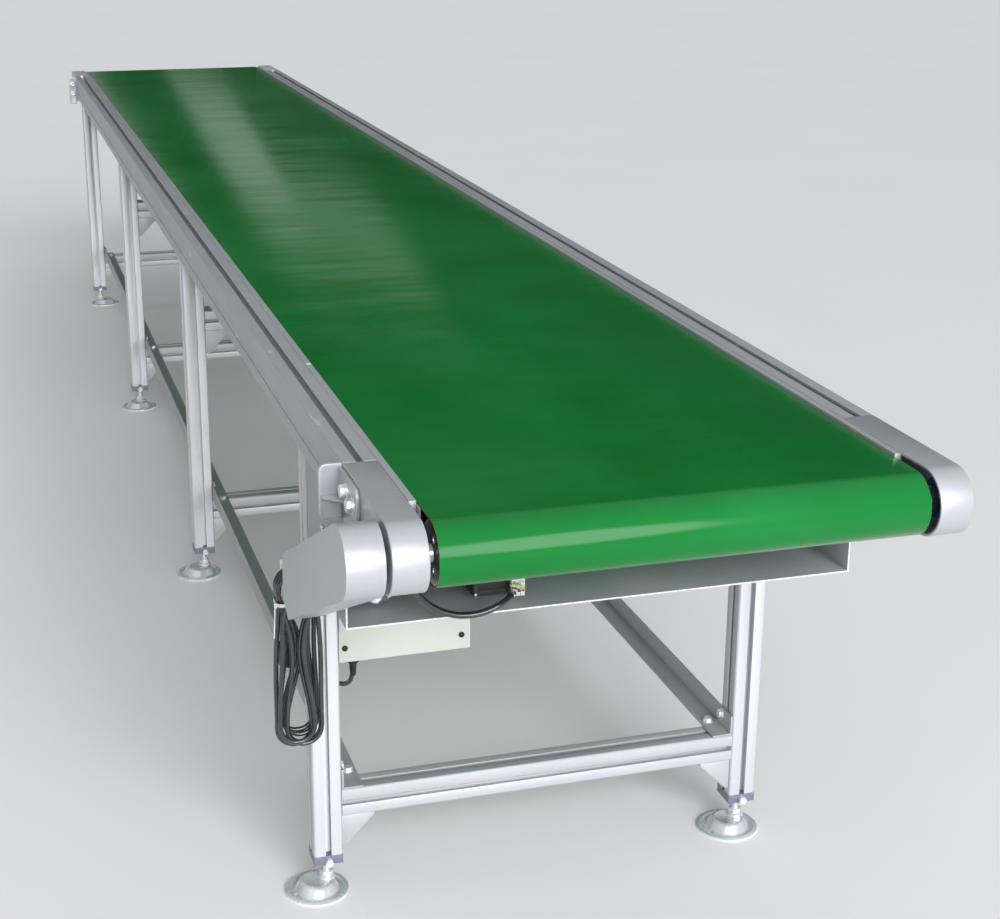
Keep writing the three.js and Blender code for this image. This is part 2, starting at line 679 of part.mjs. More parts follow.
// From the underside of the control box, round behind the leg and up to the hank on its hook.
const mainsRoute = [
  [-262, 276, 344.7], [-262, 276, 325], [-263, 279, 308], [-268, 288, 294], [-278, 299, 290],
  [-292, 306, 298], [-308, 308, 316], [-325, 306, 340], [-340, 298, 368], [-348, 286, 398],
  [-351, 272, 428], [-351, 257, 451], [-350, 242, 468], [-350, 229, 475], [-350, 216.7, 476],
];
add("mains_lead", cableSolid(mainsRoute, mainsDiameter, 48), cableBlack);

const hankHalf = hankWidth / 2;
const hankTop = hookHeight + hankCrown.above;
const hankBottom = hookHeight - hankDrop;
const hankShape = new THREE.Shape();
hankShape.absarc(hookX, hankTop - hankCrown.radius, hankCrown.radius, 0, Math.PI, false);
hankShape.lineTo(hookX - hankHalf, hankBottom + hankShoulder);
hankShape.absarc(hookX, hankBottom + hankHalf, hankHalf, Math.PI, 2 * Math.PI, false);
hankShape.lineTo(hookX + hankHalf, hankBottom + hankShoulder);
hankShape.closePath();
const pegHole = hookPeg.radius + hookPeg.gap;
hankShape.holes.push(new THREE.Path().absarc(hookX, hookHeight, pegHole, 0, 2 * Math.PI));
const hankBack = hankNear + hankThickness;
add("cable_hank", alongY(hankShape, hankNear, hankBack, 10), cableBlack);

const hookBack = firstLeg - touch;
const pegEnd = hankNear - hookPeg.past;
add("cable_hook", join(
  block(hookX - hookPlate.half, -legIn, hookBack - hookPlate.thick, hookBack,
    hookHeight - hookPlate.half, hookHeight + hookPlate.half),
  rodY(hookPeg.radius, pegEnd, hookBack - hookPlate.thick / 2, hookX, hookHeight),
  rodZ(hookPeg.radius, hookHeight - 2 * past, hookHeight + hookPeg.tip, hookX, pegEnd)), zinc);

const plugTop = hookHeight - plugDrop;
const plugX = hookX - plugAside;
const plugY = hankBack + plugBehind;
const plugRod = (part, top, x, rodSides) =>
  rodZ(part.radius, plugTop - part.bottom, plugTop - top, x, plugY, rodSides);
add("mains_plug", join(
  plugRod(plugBody, plugBody.top, plugX, 20),
  plugRod(plugNeck, 0, plugX, 16),
  plugRod(plugPin, plugPin.top, plugX - plugPin.apart / 2, 10),
  plugRod(plugPin, plugPin.top, plugX + plugPin.apart / 2, 10)), blackPlastic);

// ---- Origin: centre of the bounding box of the object without its cables, on the floor --------

const cordNodes = ["motor_cable", "mains_lead", "cable_hank", "mains_plug"];
const body = new THREE.Box3();
group.children
  .filter((mesh) => !cordNodes.includes(mesh.name))
  .forEach((mesh) => body.expandByObject(mesh));
const middle = body.getCenter(new THREE.Vector3());
group.position.set(-middle.x, -middle.y, -body.min.z);
group.updateMatrixWorld(true);

export default group;
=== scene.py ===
import json
import math

import bmesh
import bpy
from mathutils import Matrix, Vector

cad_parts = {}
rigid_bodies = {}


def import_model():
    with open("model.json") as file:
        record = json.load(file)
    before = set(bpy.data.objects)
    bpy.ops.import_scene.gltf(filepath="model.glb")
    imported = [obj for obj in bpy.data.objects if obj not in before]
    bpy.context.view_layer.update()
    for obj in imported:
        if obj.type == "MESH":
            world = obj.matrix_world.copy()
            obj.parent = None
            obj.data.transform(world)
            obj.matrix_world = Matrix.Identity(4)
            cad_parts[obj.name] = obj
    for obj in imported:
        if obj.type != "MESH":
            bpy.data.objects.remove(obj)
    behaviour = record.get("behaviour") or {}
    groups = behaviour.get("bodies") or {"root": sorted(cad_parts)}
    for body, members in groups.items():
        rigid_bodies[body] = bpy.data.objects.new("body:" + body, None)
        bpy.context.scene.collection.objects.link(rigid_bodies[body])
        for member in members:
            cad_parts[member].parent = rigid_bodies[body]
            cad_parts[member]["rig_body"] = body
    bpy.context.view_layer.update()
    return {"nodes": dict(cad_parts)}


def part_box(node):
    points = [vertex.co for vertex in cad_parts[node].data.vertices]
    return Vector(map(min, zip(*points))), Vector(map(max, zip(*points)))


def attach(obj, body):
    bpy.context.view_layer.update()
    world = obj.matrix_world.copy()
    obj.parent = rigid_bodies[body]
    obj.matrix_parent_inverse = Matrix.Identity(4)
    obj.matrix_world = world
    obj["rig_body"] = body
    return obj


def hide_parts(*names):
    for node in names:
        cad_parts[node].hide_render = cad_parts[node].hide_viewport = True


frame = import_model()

# The looks of a belt conveyor section: a green belt between slotted aluminium rails on profile
# legs, with a chain guard, a gear motor in a trough and a hank of mains lead at the head end.
# Metres, +Z up, head end towards -Y. Each piece rides on its CAD body.

# ---- Places taken from the frame ---------------------------------------------------------------

belt_low, belt_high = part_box("conveyor_belt")
MIDDLE_X = (belt_low.x + belt_high.x) / 2
HEAD_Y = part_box("side_rail_left")[0].y
SIDES = (("left", -1), ("right", 1))
LEG_PAIRS = (1, 2, 3, 4)
MIDDLE_PAIRS = (2, 3)
TOUCH = 0.0002                  # gap between two pieces that touch


def at(x, y, z):
    """A point measured from the belt's centre line, the rails' head ends and the floor."""
    return Vector((MIDDLE_X + x, HEAD_Y + y, z))


def centre_of(node):
    """The middle of a CAD node's box."""
    low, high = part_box(node)
    return (low + high) / 2


# ---- Camera ------------------------------------------------------------------------------------

CAMERA_PLACE = at(-0.715, -1.802, 1.3414)
CAMERA_YAW = -0.276
CAMERA_PITCH = -0.312
CAMERA_LENS = 62.55


def make_camera():
    """Looks along the belt from in front of the head end's left corner."""
    data = bpy.data.cameras.new("camera")
    data.sensor_width = 36
    data.lens = CAMERA_LENS
    data.shift_x = 0.05
    data.shift_y = -0.0295
    data.clip_end = 100
    camera = bpy.data.objects.new("camera", data)
    bpy.context.scene.collection.objects.link(camera)
    ahead = Vector((
        -math.sin(CAMERA_YAW) * math.cos(CAMERA_PITCH),
        math.cos(CAMERA_YAW) * math.cos(CAMERA_PITCH),
        math.sin(CAMERA_PITCH)))
    camera.location = CAMERA_PLACE
    camera.rotation_mode = "QUATERNION"
    camera.rotation_quaternion = ahead.to_track_quat("-Z", "Y")
    bpy.context.scene.camera = camera


# ---- Shader building ---------------------------------------------------------------------------


def node(tree, kind, values=None, **settings):
    """Adds a shader node with its settings, and with a value or a link for each named input."""
    made = tree.nodes.new(kind)
    for key, value in settings.items():
        setattr(made, key, value)
    for socket, value in (values or {}).items():
        if isinstance(value, bpy.types.NodeSocket):
            tree.links.new(value, made.inputs[socket])
        else:
            made.inputs[socket].default_value = value
    return made


def arithmetic(tree, operation, first, second=0.0, clamp=False):
    """One operation on two values, each a number or a socket."""
    made = node(tree, "ShaderNodeMath", {0: first, 1: second}, operation=operation)
    made.use_clamp = clamp
    return made.outputs[0]


def span(tree, value, low, high, to_low=0.0, to_high=1.0):
    """Maps a value's stretch from low to high onto another stretch."""
    inputs = {"Value": value, "From Min": low, "From Max": high, "To Min": to_low, "To Max": to_high}
    return node(tree, "ShaderNodeMapRange", inputs).outputs[0]


def mixed(tree, mask, first, second):
    """One colour over another by a mask."""
    inputs = {0: mask, 6: first, 7: second}
    return node(tree, "ShaderNodeMix", inputs, data_type="RGBA").outputs[2]


def noise(tree, place, scale, detail=3.0, roughness=0.55):
    inputs = {"Vector": place, "Scale": scale, "Detail": detail, "Roughness": roughness}
    return node(tree, "ShaderNodeTexNoise", inputs).outputs["Fac"]


def stretched(tree, place, scale):
    """The same coordinates, closer together along some axes."""
    return node(tree, "ShaderNodeMapping", {"Vector": place, "Scale": scale}).outputs[0]


def bump(tree, height, distance, strength=1.0, normal=None):
    inputs = {"Height": height, "Distance": distance, "Strength": strength}
    if normal is not None:
        inputs["Normal"] = normal
    return node(tree, "ShaderNodeBump", inputs).outputs[0]


def start_group(name, inputs, outputs):
    """An empty shader node group with its sockets, and its input and output nodes."""
    tree = bpy.data.node_groups.new(name, "ShaderNodeTree")
    for label, kind, value in inputs:
        socket = tree.interface.new_socket(name=label, in_out="INPUT", socket_type=kind)
        if value is not None:
            socket.default_value = value
    for label, kind in outputs:
        tree.interface.new_socket(name=label, in_out="OUTPUT", socket_type=kind)
    return tree, tree.nodes.new("NodeGroupInput"), tree.nodes.new("NodeGroupOutput")


FLOAT = "NodeSocketFloat"
VECTOR = "NodeSocketVector"


def make_edge_wear():
    """Where edges are rubbed: a mask from the corner's roundness, broken up by a fine noise."""
    tree, given, out = start_group(
        "edge_wear",
        [("Place", VECTOR, None), ("Reach", FLOAT, 0.002), ("Amount", FLOAT, 0.5)],
        [("Mask", FLOAT)])
    eased_normal = node(tree, "ShaderNodeBevel", {"Radius": given.outputs["Reach"]}, samples=4)
    flat = node(tree, "ShaderNodeNewGeometry").outputs["Normal"]
    inputs = {0: eased_normal.outputs[0], 1: flat}
    facing = node(tree, "ShaderNodeVectorMath", inputs, operation="DOT_PRODUCT").outputs["Value"]
    edge = span(tree, facing, 0.995, 0.82)
    broken = span(tree, noise(tree, given.outputs["Place"], 130.0, 4.0), 0.42, 0.62)
    rubbed = arithmetic(tree, "MULTIPLY", edge, broken)
    mask = arithmetic(tree, "MULTIPLY", rubbed, given.outputs["Amount"], True)
    tree.links.new(mask, out.inputs["Mask"])
    return tree


def make_dust():
    """Dust on faces that look up, thicker in drifts."""
    tree, given, out = start_group(
        "settled_dust",
        [("Place", VECTOR, None), ("Amount", FLOAT, 0.2)],
        [("Mask", FLOAT)])
    normal = node(tree, "ShaderNodeNewGeometry").outputs["Normal"]
    up = node(tree, "ShaderNodeSeparateXYZ", {0: normal}).outputs["Z"]
    level = span(tree, up, 0.35, 0.95)
    drifts = span(tree, noise(tree, given.outputs["Place"], 9.0, 5.0, 0.62), 0.35, 0.75)
    specks = span(tree, noise(tree, given.outputs["Place"], 420.0, 2.0), 0.45, 0.7)
    grains = arithmetic(tree, "MULTIPLY", drifts, span(tree, specks, 0.0, 1.0, 0.45, 1.0))
    lying = arithmetic(tree, "MULTIPLY", level, grains)
    mask = arithmetic(tree, "MULTIPLY", lying, given.outputs["Amount"], True)
    tree.links.new(mask, out.inputs["Mask"])
    return tree


def make_scratches():
    """Short fine scratches in two crossing directions, as a mask."""
    tree, given, out = start_group(
        "fine_scratches",
        [("Place", VECTOR, None), ("Density", FLOAT, 0.5)],
        [("Mask", FLOAT)])
    lines = []
    for turn, scale in ((0.5, (900.0, 22.0, 60.0)), (-0.9, (40.0, 16.0, 700.0))):
        turned = node(tree, "ShaderNodeMapping", {
            "Vector": given.outputs["Place"], "Rotation": (turn, 0.3, turn), "Scale": scale})
        lines.append(span(tree, noise(tree, turned.outputs[0], 1.0, 2.0), 0.69, 0.74))
    either = arithmetic(tree, "MAXIMUM", *lines)
    mask = arithmetic(tree, "MULTIPLY", either, given.outputs["Density"], True)
    tree.links.new(mask, out.inputs["Mask"])
    return tree


def make_handling():
    """Broad patches where a surface was touched, wiped or left dull, from 0 to 1."""
    tree, given, out = start_group(
        "handling_marks",
        [("Place", VECTOR, None), ("Size", FLOAT, 6.0)],
        [("Tone", FLOAT)])
    warp = node(tree, "ShaderNodeTexNoise", {
        "Vector": given.outputs["Place"], "Scale": given.outputs["Size"], "Detail": 6.0,
        "Roughness": 0.6, "Distortion": 0.6})
    tree.links.new(span(tree, warp.outputs["Fac"], 0.3, 0.7), out.inputs["Tone"])
    return tree


EDGE_WEAR = make_edge_wear()
DUST = make_dust()
SCRATCHES = make_scratches()
HANDLING = make_handling()


def effect(tree, group, **values):
    """Places one of the shared effects, with its own values, and gives its output."""
    return node(tree, "ShaderNodeGroup", values, node_tree=group).outputs[0]


def start_material(name, **sockets):
    """A material with its Principled shader, and the coordinates that its patterns use."""
    material = bpy.data.materials.new(name)
    material.use_nodes = True
    tree = material.node_tree
    tree.nodes.clear()
    shader = node(tree, "ShaderNodeBsdfPrincipled")
    for label, value in sockets.items():
        shader.inputs[label.replace("_", " ")].default_value = value
    node(tree, "ShaderNodeOutputMaterial", {"Surface": shader.outputs["BSDF"]})
    place = node(tree, "ShaderNodeTexCoord").outputs["Object"]
    return material, tree, shader, place


def join_up(tree, shader, **links):
    """Feeds the shader's named sockets."""
    for label, socket in links.items():
        tree.links.new(socket, shader.inputs[label.replace("_", " ")])


# ---- Finishes ----------------------------------------------------------------------------------


def relief(tree, place, scale, detail, roughness=0.55):
    """A noise for a surface's relief, drawn out where its scale is given axis by axis."""
    if isinstance(scale, tuple):
        return noise(tree, stretched(tree, place, scale), 1.0, detail, roughness)
    return noise(tree, place, scale, detail, roughness)


def coated(name, dark, pale, gloss, patch, grain, depth, waves=None, flakes=None, bare=None,
           worn=None, scratched=None, dust=None, **sockets):
    """A finish whose tone and gloss change in patches of one size, over a fine grain.

    waves is a broader relief, with its share of the grain's height. flakes is the colour of flakes
    in the paint. bare is the colour under worn edges, given by their reach and amount, and under
    scratches, given by their density. dust is its amount and colour.
    """
    material, tree, shader, place = start_material(name, **sockets)
    height = relief(tree, place, *grain)
    if waves:
        share, *broad = waves
        broader = arithmetic(tree, "MULTIPLY", relief(tree, place, *broad), share)
        height = arithmetic(tree, "ADD", height, broader)
    patches = effect(tree, HANDLING, Place=place, Size=patch)
    colour = mixed(tree, patches, dark, pale)
    if flakes:
        sparks = span(tree, noise(tree, place, 2600.0, 1.0), 0.5, 0.75, 0.0, 0.35)
        colour = mixed(tree, sparks, colour, flakes)
    marks = []
    if worn:
        marks.append(effect(tree, EDGE_WEAR, Place=place, Reach=worn[0], Amount=worn[1]))
    if scratched:
        marks.append(effect(tree, SCRATCHES, Place=place, Density=scratched))
    if marks:
        mask = arithmetic(tree, "MAXIMUM", *marks) if len(marks) > 1 else marks[0]
        colour = mixed(tree, mask, colour, bare)
    if dust:
        amount, tone = dust
        colour = mixed(tree, effect(tree, DUST, Place=place, Amount=amount), colour, tone)
    join_up(tree, shader, Base_Color=colour, Roughness=span(tree, patches, 0.0, 1.0, *gloss),
            Normal=bump(tree, height, depth))
    return material


def powder_coat_finish(name, dark, pale, bare):
    """Powder coat on folded sheet, bright where the edges are bare."""
    return coated(name, dark, pale, (0.36, 0.52), 5.0, (1500.0, 3.0), 0.00009, bare=bare,
                  worn=(0.0018, 0.9), scratched=0.3, dust=(0.35, (0.42, 0.41, 0.38, 1)),
                  Metallic=0.1)


def turned_steel_finish(name, dark, pale, gloss):
    """Steel turned or ground about the X axis: rings of fine tool marks and a thin oil film."""
    return coated(name, dark, pale, (gloss - 0.07, gloss + 0.1), 18.0,
                  ((2200.0, 6.0, 6.0), 2.0), 0.00008, bare=(0.85, 0.85, 0.86, 1),
                  worn=(0.001, 0.6), Metallic=1.0)


def plastic_finish(name, dark, pale, gloss):
    """Moulded plastic with a spark-eroded texture, paler where it is rubbed."""
    rubbed = [min(1.0, 2.2 * v + 0.03) for v in pale[:3]] + [1]
    return coated(name, dark, pale, (gloss - 0.05, gloss + 0.1), 40.0, (1300.0, 3.0), 0.00006,
                  bare=rubbed, worn=(0.001, 0.3), Specular_IOR_Level=0.45)


def anodised_finish(name, along, dark, pale):
    """Clear anodised extrusion, with die lines along one axis and a little dust and handling."""
    material, tree, shader, place = start_material(name, Metallic=0.5)
    squeeze = [1500.0, 1500.0, 1500.0]
    squeeze[along] = 3.0
    lines = noise(tree, stretched(tree, place, squeeze), 1.0, 2.0)
    squeeze[along] = 1.0
    broad = noise(tree, stretched(tree, place, [v / 12 for v in squeeze]), 1.0, 3.0)
    touched = effect(tree, HANDLING, Place=place, Size=4.0)
    scratch = effect(tree, SCRATCHES, Place=place, Density=0.35)
    wear = effect(tree, EDGE_WEAR, Place=place, Reach=0.0012, Amount=0.6)
    dust = effect(tree, DUST, Place=place, Amount=0.3)
    base = mixed(tree, broad, dark, pale)
    worn = mixed(tree, arithmetic(tree, "MAXIMUM", wear, scratch), base, (0.78, 0.79, 0.82, 1))
    colour = mixed(tree, dust, worn, (0.55, 0.54, 0.5, 1))
    dull = span(tree, touched, 0.0, 1.0, 0.40, 0.52)
    rough = arithmetic(tree, "ADD", dull, arithmetic(tree, "MULTIPLY", dust, 0.5))
    join_up(tree, shader, Base_Color=colour, Roughness=rough, Normal=bump(tree, lines, 0.00006))
    return material


def belt_finish():
    """Glossy green belting: a rolled surface with faint waves, haze and scuffs along the run, and
    the reddish fabric plies showing where the edges were cut."""
    material, tree, shader, place = start_material("green_belting", Specular_IOR_Level=0.22)
    long_scuffs = noise(tree, stretched(tree, place, (420.0, 5.0, 90.0)), 1.0, 3.0)
    scuffed = span(tree, long_scuffs, 0.64, 0.9)
    haze = effect(tree, HANDLING, Place=place, Size=2.2)
    dust = effect(tree, DUST, Place=place, Amount=0.025)
    deep = mixed(tree, haze, (0.004, 0.150, 0.022, 1), (0.009, 0.200, 0.040, 1))
    rubbed = mixed(tree, arithmetic(tree, "MULTIPLY", scuffed, 0.1), deep, (0.05, 0.27, 0.1, 1))
    top = mixed(tree, dust, rubbed, (0.3, 0.36, 0.28, 1))
    normal = node(tree, "ShaderNodeNewGeometry").outputs["Normal"]
    across = node(tree, "ShaderNodeSeparateXYZ", {0: normal}).outputs["X"]
    cut = span(tree, arithmetic(tree, "ABSOLUTE", across), 0.8, 0.95)
    fibres = noise(tree, stretched(tree, place, (1.0, 700.0, 2500.0)), 1.0, 2.0)
    plies = mixed(tree, fibres, (0.24, 0.028, 0.006, 1), (0.5, 0.16, 0.05, 1))
    colour = mixed(tree, cut, top, plies)
    rough = span(tree, haze, 0.0, 1.0, 0.13, 0.2)
    for mask, share in ((cut, 0.5), (scuffed, 0.15)):
        rough = arithmetic(tree, "ADD", rough, arithmetic(tree, "MULTIPLY", mask, share))
    waves = noise(tree, stretched(tree, place, (3.0, 9.0, 3.0)), 1.0, 2.0)
    leather = noise(tree, place, 900.0, 3.0)
    fine = bump(tree, leather, 0.00003, normal=bump(tree, waves, 0.0016))
    join_up(tree, shader, Base_Color=colour, Roughness=rough, Normal=fine)
    return material


def wire_finish(name, first, second, stripe):
    """Insulation of a single wire, with a second colour in stripes along it."""
    material, tree, shader, place = start_material(name, Roughness=0.35)
    bands = noise(tree, stretched(tree, place, (260.0, 30.0, 30.0)), 1.0, 1.0)
    mask = span(tree, bands, 0.5, 0.52, 0.0, stripe)
    skin = noise(tree, place, 2000.0, 2.0)
    join_up(tree, shader, Base_Color=mixed(tree, mask, first, second),
            Normal=bump(tree, skin, 0.00003))
    return material


def floor_finish():
    """Pale studio floor with a barely visible mottling."""
    material, tree, shader, place = start_material("pale_floor", Specular_IOR_Level=0.05)
    mottle = noise(tree, place, 1.5, 4.0)
    colour = mixed(tree, mottle, (0.86, 0.865, 0.87, 1), (0.9, 0.9, 0.9, 1))
    rough = span(tree, mottle, 0.0, 1.0, 0.9, 1.0)
    join_up(tree, shader, Base_Color=colour, Roughness=rough)
    return material


def varied(material, name, axis, start, full):
    """A copy of a finish, with a mask that grows from start to full along one axis."""
    material = material.copy()
    material.name = name
    tree = material.node_tree
    shader = next(n for n in tree.nodes if n.type == "BSDF_PRINCIPLED")
    place = next(n for n in tree.nodes if n.type == "TEX_COORD").outputs["Object"]
    along = node(tree, "ShaderNodeSeparateXYZ", {0: place}).outputs[axis]
    return material, tree, shader, place, span(tree, along, start, full)


def trough_finish():
    """The powder-coated trough, with the bare metal of its cut front edges."""
    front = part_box("head_trough")[0].y
    material, tree, shader, place, near = varied(
        GREY_SHEET, "trough_sheet", "Y", front + 0.0012, front + 0.0006)
    nicks = span(tree, noise(tree, place, 240.0, 3.0), 0.3, 0.5, 0.55, 1.0)
    mask = arithmetic(tree, "MULTIPLY", near, nicks)
    coat = shader.inputs["Base Color"].links[0].from_socket
    join_up(tree, shader, Base_Color=mixed(tree, mask, coat, (0.82, 0.82, 0.85, 1)))
    return material


END_BLOCK_TOP = 0.0582


def leg_finish():
    """The legs' upright extrusion, with the darker end block that closes its foot."""
    material, tree, shader, place, block = varied(
        ANODISED_Z, "leg_extrusion", "Z", END_BLOCK_TOP + 0.0003, END_BLOCK_TOP)
    cast = span(tree, noise(tree, place, 300.0, 4.0), 0.3, 0.7)
    dark = mixed(tree, cast, (0.20, 0.20, 0.27, 1), (0.29, 0.29, 0.37, 1))
    drawn = shader.inputs["Base Color"].links[0].from_socket
    join_up(tree, shader, Base_Color=mixed(tree, block, drawn, dark))
    return material


# One anodised aluminium in two tones. The darker pair is painted shade, for the lengthways rails,
# strips and braces whose sides and tops lie in shade.
LIT_ALUMINIUM = (0.55, 0.565, 0.60, 1), (0.63, 0.645, 0.68, 1)
PAINTED_SHADE_ALUMINIUM = (0.37, 0.385, 0.41, 1), (0.44, 0.455, 0.48, 1)
ANODISED_X = anodised_finish("anodised_across", 0, *LIT_ALUMINIUM)
ANODISED_Y_PAINTED_SHADE = anodised_finish("anodised_lengthways_painted_shade", 1, *PAINTED_SHADE_ALUMINIUM)
ANODISED_Z = anodised_finish("anodised_upright", 2, *LIT_ALUMINIUM)
LEG = leg_finish()
CAST_PAINT = coated(
    "silver_cast_paint", (0.44, 0.455, 0.49, 1), (0.50, 0.515, 0.545, 1), (0.38, 0.5), 9.0,
    (520.0, 3.0), 0.00012, waves=(2.0, 60.0, 2.0), flakes=(0.75, 0.76, 0.8, 1),
    bare=(0.8, 0.8, 0.8, 1), worn=(0.0025, 0.5), dust=(0.25, (0.5, 0.5, 0.46, 1)), Metallic=0.35,
    Coat_Weight=0.25, Coat_Roughness=0.25)
GEARBOX = coated(
    "gearbox_enamel", (0.13, 0.14, 0.155, 1), (0.24, 0.25, 0.27, 1), (0.25, 0.55), 22.0,
    (900.0, 4.0, 0.7), 0.00025, bare=(0.5, 0.5, 0.5, 1), worn=(0.002, 0.6), Metallic=0.2)
GREY_SHEET = powder_coat_finish(
    "grey_powder_coat", (0.33, 0.345, 0.375, 1), (0.41, 0.425, 0.46, 1), (0.75, 0.76, 0.8, 1))
TROUGH_SHEET = trough_finish()
PALE_SHEET = powder_coat_finish(
    "pale_powder_coat", (0.50, 0.53, 0.47, 1), (0.60, 0.63, 0.56, 1), (0.72, 0.74, 0.68, 1))
ZINC = coated(
    "bright_zinc_plate", (0.78, 0.83, 0.89, 1), (0.87, 0.90, 0.92, 1), (0.16, 0.34), 30.0,
    (800.0, 3.0), 0.00008, bare=(0.9, 0.92, 0.94, 1), scratched=0.5,
    dust=(0.35, (0.45, 0.43, 0.38, 1)), Metallic=0.55)
TURNED_STEEL = turned_steel_finish(
    "turned_steel", (0.42, 0.42, 0.43, 1), (0.6, 0.6, 0.61, 1), 0.28)
BEARING_STEEL = turned_steel_finish(
    "bearing_steel", (0.26, 0.27, 0.29, 1), (0.42, 0.43, 0.45, 1), 0.22)
OILED_STEEL = turned_steel_finish(
    "oiled_steel", (0.08, 0.078, 0.075, 1), (0.2, 0.195, 0.19, 1), 0.25)
BELTING = belt_finish()
BLACK_ENAMEL = coated(
    "black_motor_enamel", (0.008, 0.008, 0.01, 1), (0.02, 0.02, 0.023, 1), (0.3, 0.48), 14.0,
    (700.0, 3.0), 0.0001, bare=(0.2, 0.2, 0.2, 1), worn=(0.0015, 0.5),
    dust=(0.4, (0.2, 0.19, 0.17, 1)))
BLACK_PLASTIC = plastic_finish(
    "black_plastic", (0.008, 0.008, 0.009, 1), (0.018, 0.018, 0.02, 1), 0.38)
WHITE_PLASTIC = plastic_finish(
    "white_plastic", (0.62, 0.63, 0.6, 1), (0.75, 0.75, 0.72, 1), 0.42)
BLUE_SEAL = plastic_finish("blue_seal", (0.02, 0.06, 0.16, 1), (0.035, 0.09, 0.22, 1), 0.32)
SHEATH = coated(
    "black_cable_sheath", (0.010, 0.011, 0.015, 1), (0.026, 0.028, 0.036, 1), (0.18, 0.34), 26.0,
    (1800.0, 2.0), 0.00008, waves=(4.0, 90.0, 2.0), dust=(0.18, (0.2, 0.2, 0.2, 1)),
    Coat_Weight=0.6, Coat_Roughness=0.12, Specular_IOR_Level=0.7)
YELLOW_GREEN = wire_finish("earth_wire", (0.62, 0.5, 0.03, 1), (0.05, 0.3, 0.05, 1), 0.8)
BROWN_WIRE = wire_finish("brown_wire", (0.11, 0.04, 0.015, 1), (0.15, 0.06, 0.02, 1), 0.3)
BLUE_WIRE = wire_finish("blue_wire", (0.03, 0.07, 0.25, 1), (0.05, 0.1, 0.3, 1), 0.3)

# ---- Modelling steps ---------------------------------------------------------------------------


def clear_selection():
    """Object mode with nothing selected."""
    if bpy.context.object is not None and bpy.context.object.mode != "OBJECT":
        bpy.ops.object.mode_set(mode="OBJECT")
    bpy.ops.object.select_all(action="DESELECT")


def hold(*pieces):
    """Selects these objects only, with the first one active, in object mode."""
    clear_selection()
    for piece in pieces:
        piece.select_set(True)
    bpy.context.view_layer.objects.active = pieces[0]
    return pieces[0]


def apply_place():
    bpy.ops.object.transform_apply(location=True, rotation=True, scale=True)
    return bpy.context.object


def add_block(low, high):
    """A block between two corners."""
    clear_selection()
    low, high = Vector(low), Vector(high)
    bpy.ops.mesh.primitive_cube_add(size=1, location=(low + high) / 2, scale=high - low)
    return apply_place()


TURNS = {"X": (0, math.pi / 2, 0), "Y": (-math.pi / 2, 0, 0), "Z": (0, 0, 0)}
AXES = {"X": Vector((1, 0, 0)), "Y": Vector((0, 1, 0)), "Z": Vector((0, 0, 1))}


def add_rod(axis, radius, start, length, sides=32):
    """A round bar from a start point along +X, +Y or +Z."""
    clear_selection()
    middle = Vector(start) + AXES[axis] * length / 2
    bpy.ops.mesh.primitive_cylinder_add(
        vertices=sides, radius=radius, depth=length, location=middle, rotation=TURNS[axis])
    return apply_place()


def pick(piece, kind, test):
    """Selects the faces, edges or points whose middle and normal pass a test, in edit mode."""
    bpy.context.view_layer.objects.active = piece
    bpy.ops.object.mode_set(mode="EDIT")
    bpy.ops.mesh.select_mode(type=kind)
    bpy.ops.mesh.select_all(action="DESELECT")
    mesh = bmesh.from_edit_mesh(piece.data)
    if kind == "FACE":
        for face in mesh.faces:
            face.select = test(face.calc_center_median(), face.normal)
    elif kind == "EDGE":
        for edge in mesh.edges:
            first, second = (v.co for v in edge.verts)
            edge.select = test((first + second) / 2, (second - first).normalized())
    else:
        for point in mesh.verts:
            point.select = test(point.co, point.normal)
    mesh.select_flush_mode()
    bmesh.update_edit_mesh(piece.data)


def push(move):
    """Extrudes the selected faces by a step."""
    bpy.ops.mesh.extrude_region_move(TRANSFORM_OT_translate={"value": tuple(move)})


def narrow(amount, depth=0.0):
    """Insets the selected faces."""
    bpy.ops.mesh.inset(thickness=amount, depth=depth)


def scale_about(centre, factors):
    bpy.ops.transform.resize(value=tuple(factors), center_override=tuple(centre))


def done_editing():
    bpy.ops.object.mode_set(mode="OBJECT")
    return bpy.context.object


def soften(piece, width, segments=2, angle=40.0):
    """Rounds the sharp edges."""
    hold(piece)
    bevel = piece.modifiers.new("rounded_edges", "BEVEL")
    bevel.width = width
    bevel.segments = segments
    bevel.limit_method = "ANGLE"
    bevel.angle_limit = math.radians(angle)
    bevel.harden_normals = False
    bpy.ops.object.modifier_apply(modifier=bevel.name)
    return piece


UP, DOWN = (0, 0, 1), (0, 0, -1)
FRONT, BACK = (0, -1, 0), (0, 1, 0)
LEFT, RIGHT = (-1, 0, 0), (1, 0, 0)


def work(piece, direction, *steps):
    """Works the faces that look in a direction. A step of one number insets them, two inset and
    raise them, and three extrude them."""
    aim = Vector(direction)
    pick(piece, "FACE", lambda middle, normal: normal.dot(aim) > 0.9)
    for step in steps:
        if len(step) == 3:
            push(step)
        else:
            narrow(*step)
    return done_editing()


def rounded(piece, radius, segments, test):
    """Rounds the edges that pass a test."""
    pick(piece, "EDGE", test)
    bpy.ops.mesh.bevel(offset=radius, segments=segments, affect="EDGES")
    return done_editing()


def sliced(piece, point, normal):
    """Cuts off what lies past a plane, and closes the cut."""
    hold(piece)
    bpy.ops.object.mode_set(mode="EDIT")
    bpy.ops.mesh.select_all(action="SELECT")
    bpy.ops.mesh.bisect(plane_co=tuple(point), plane_no=normal, use_fill=True, clear_outer=True)
    return done_editing()


def cut_away(piece, cutter):
    """Cuts one solid out of another, and drops the cutter."""
    hold(piece)
    cut = piece.modifiers.new("cut", "BOOLEAN")
    cut.operation = "DIFFERENCE"
    cut.solver = "EXACT"
    cut.object = cutter
    bpy.ops.object.modifier_apply(modifier=cut.name)
    bpy.data.objects.remove(cutter)
    return piece


def joined(*pieces):
    """Several solids as one piece."""
    hold(*pieces)
    if len(pieces) > 1:
        bpy.ops.object.join()
    return bpy.context.object


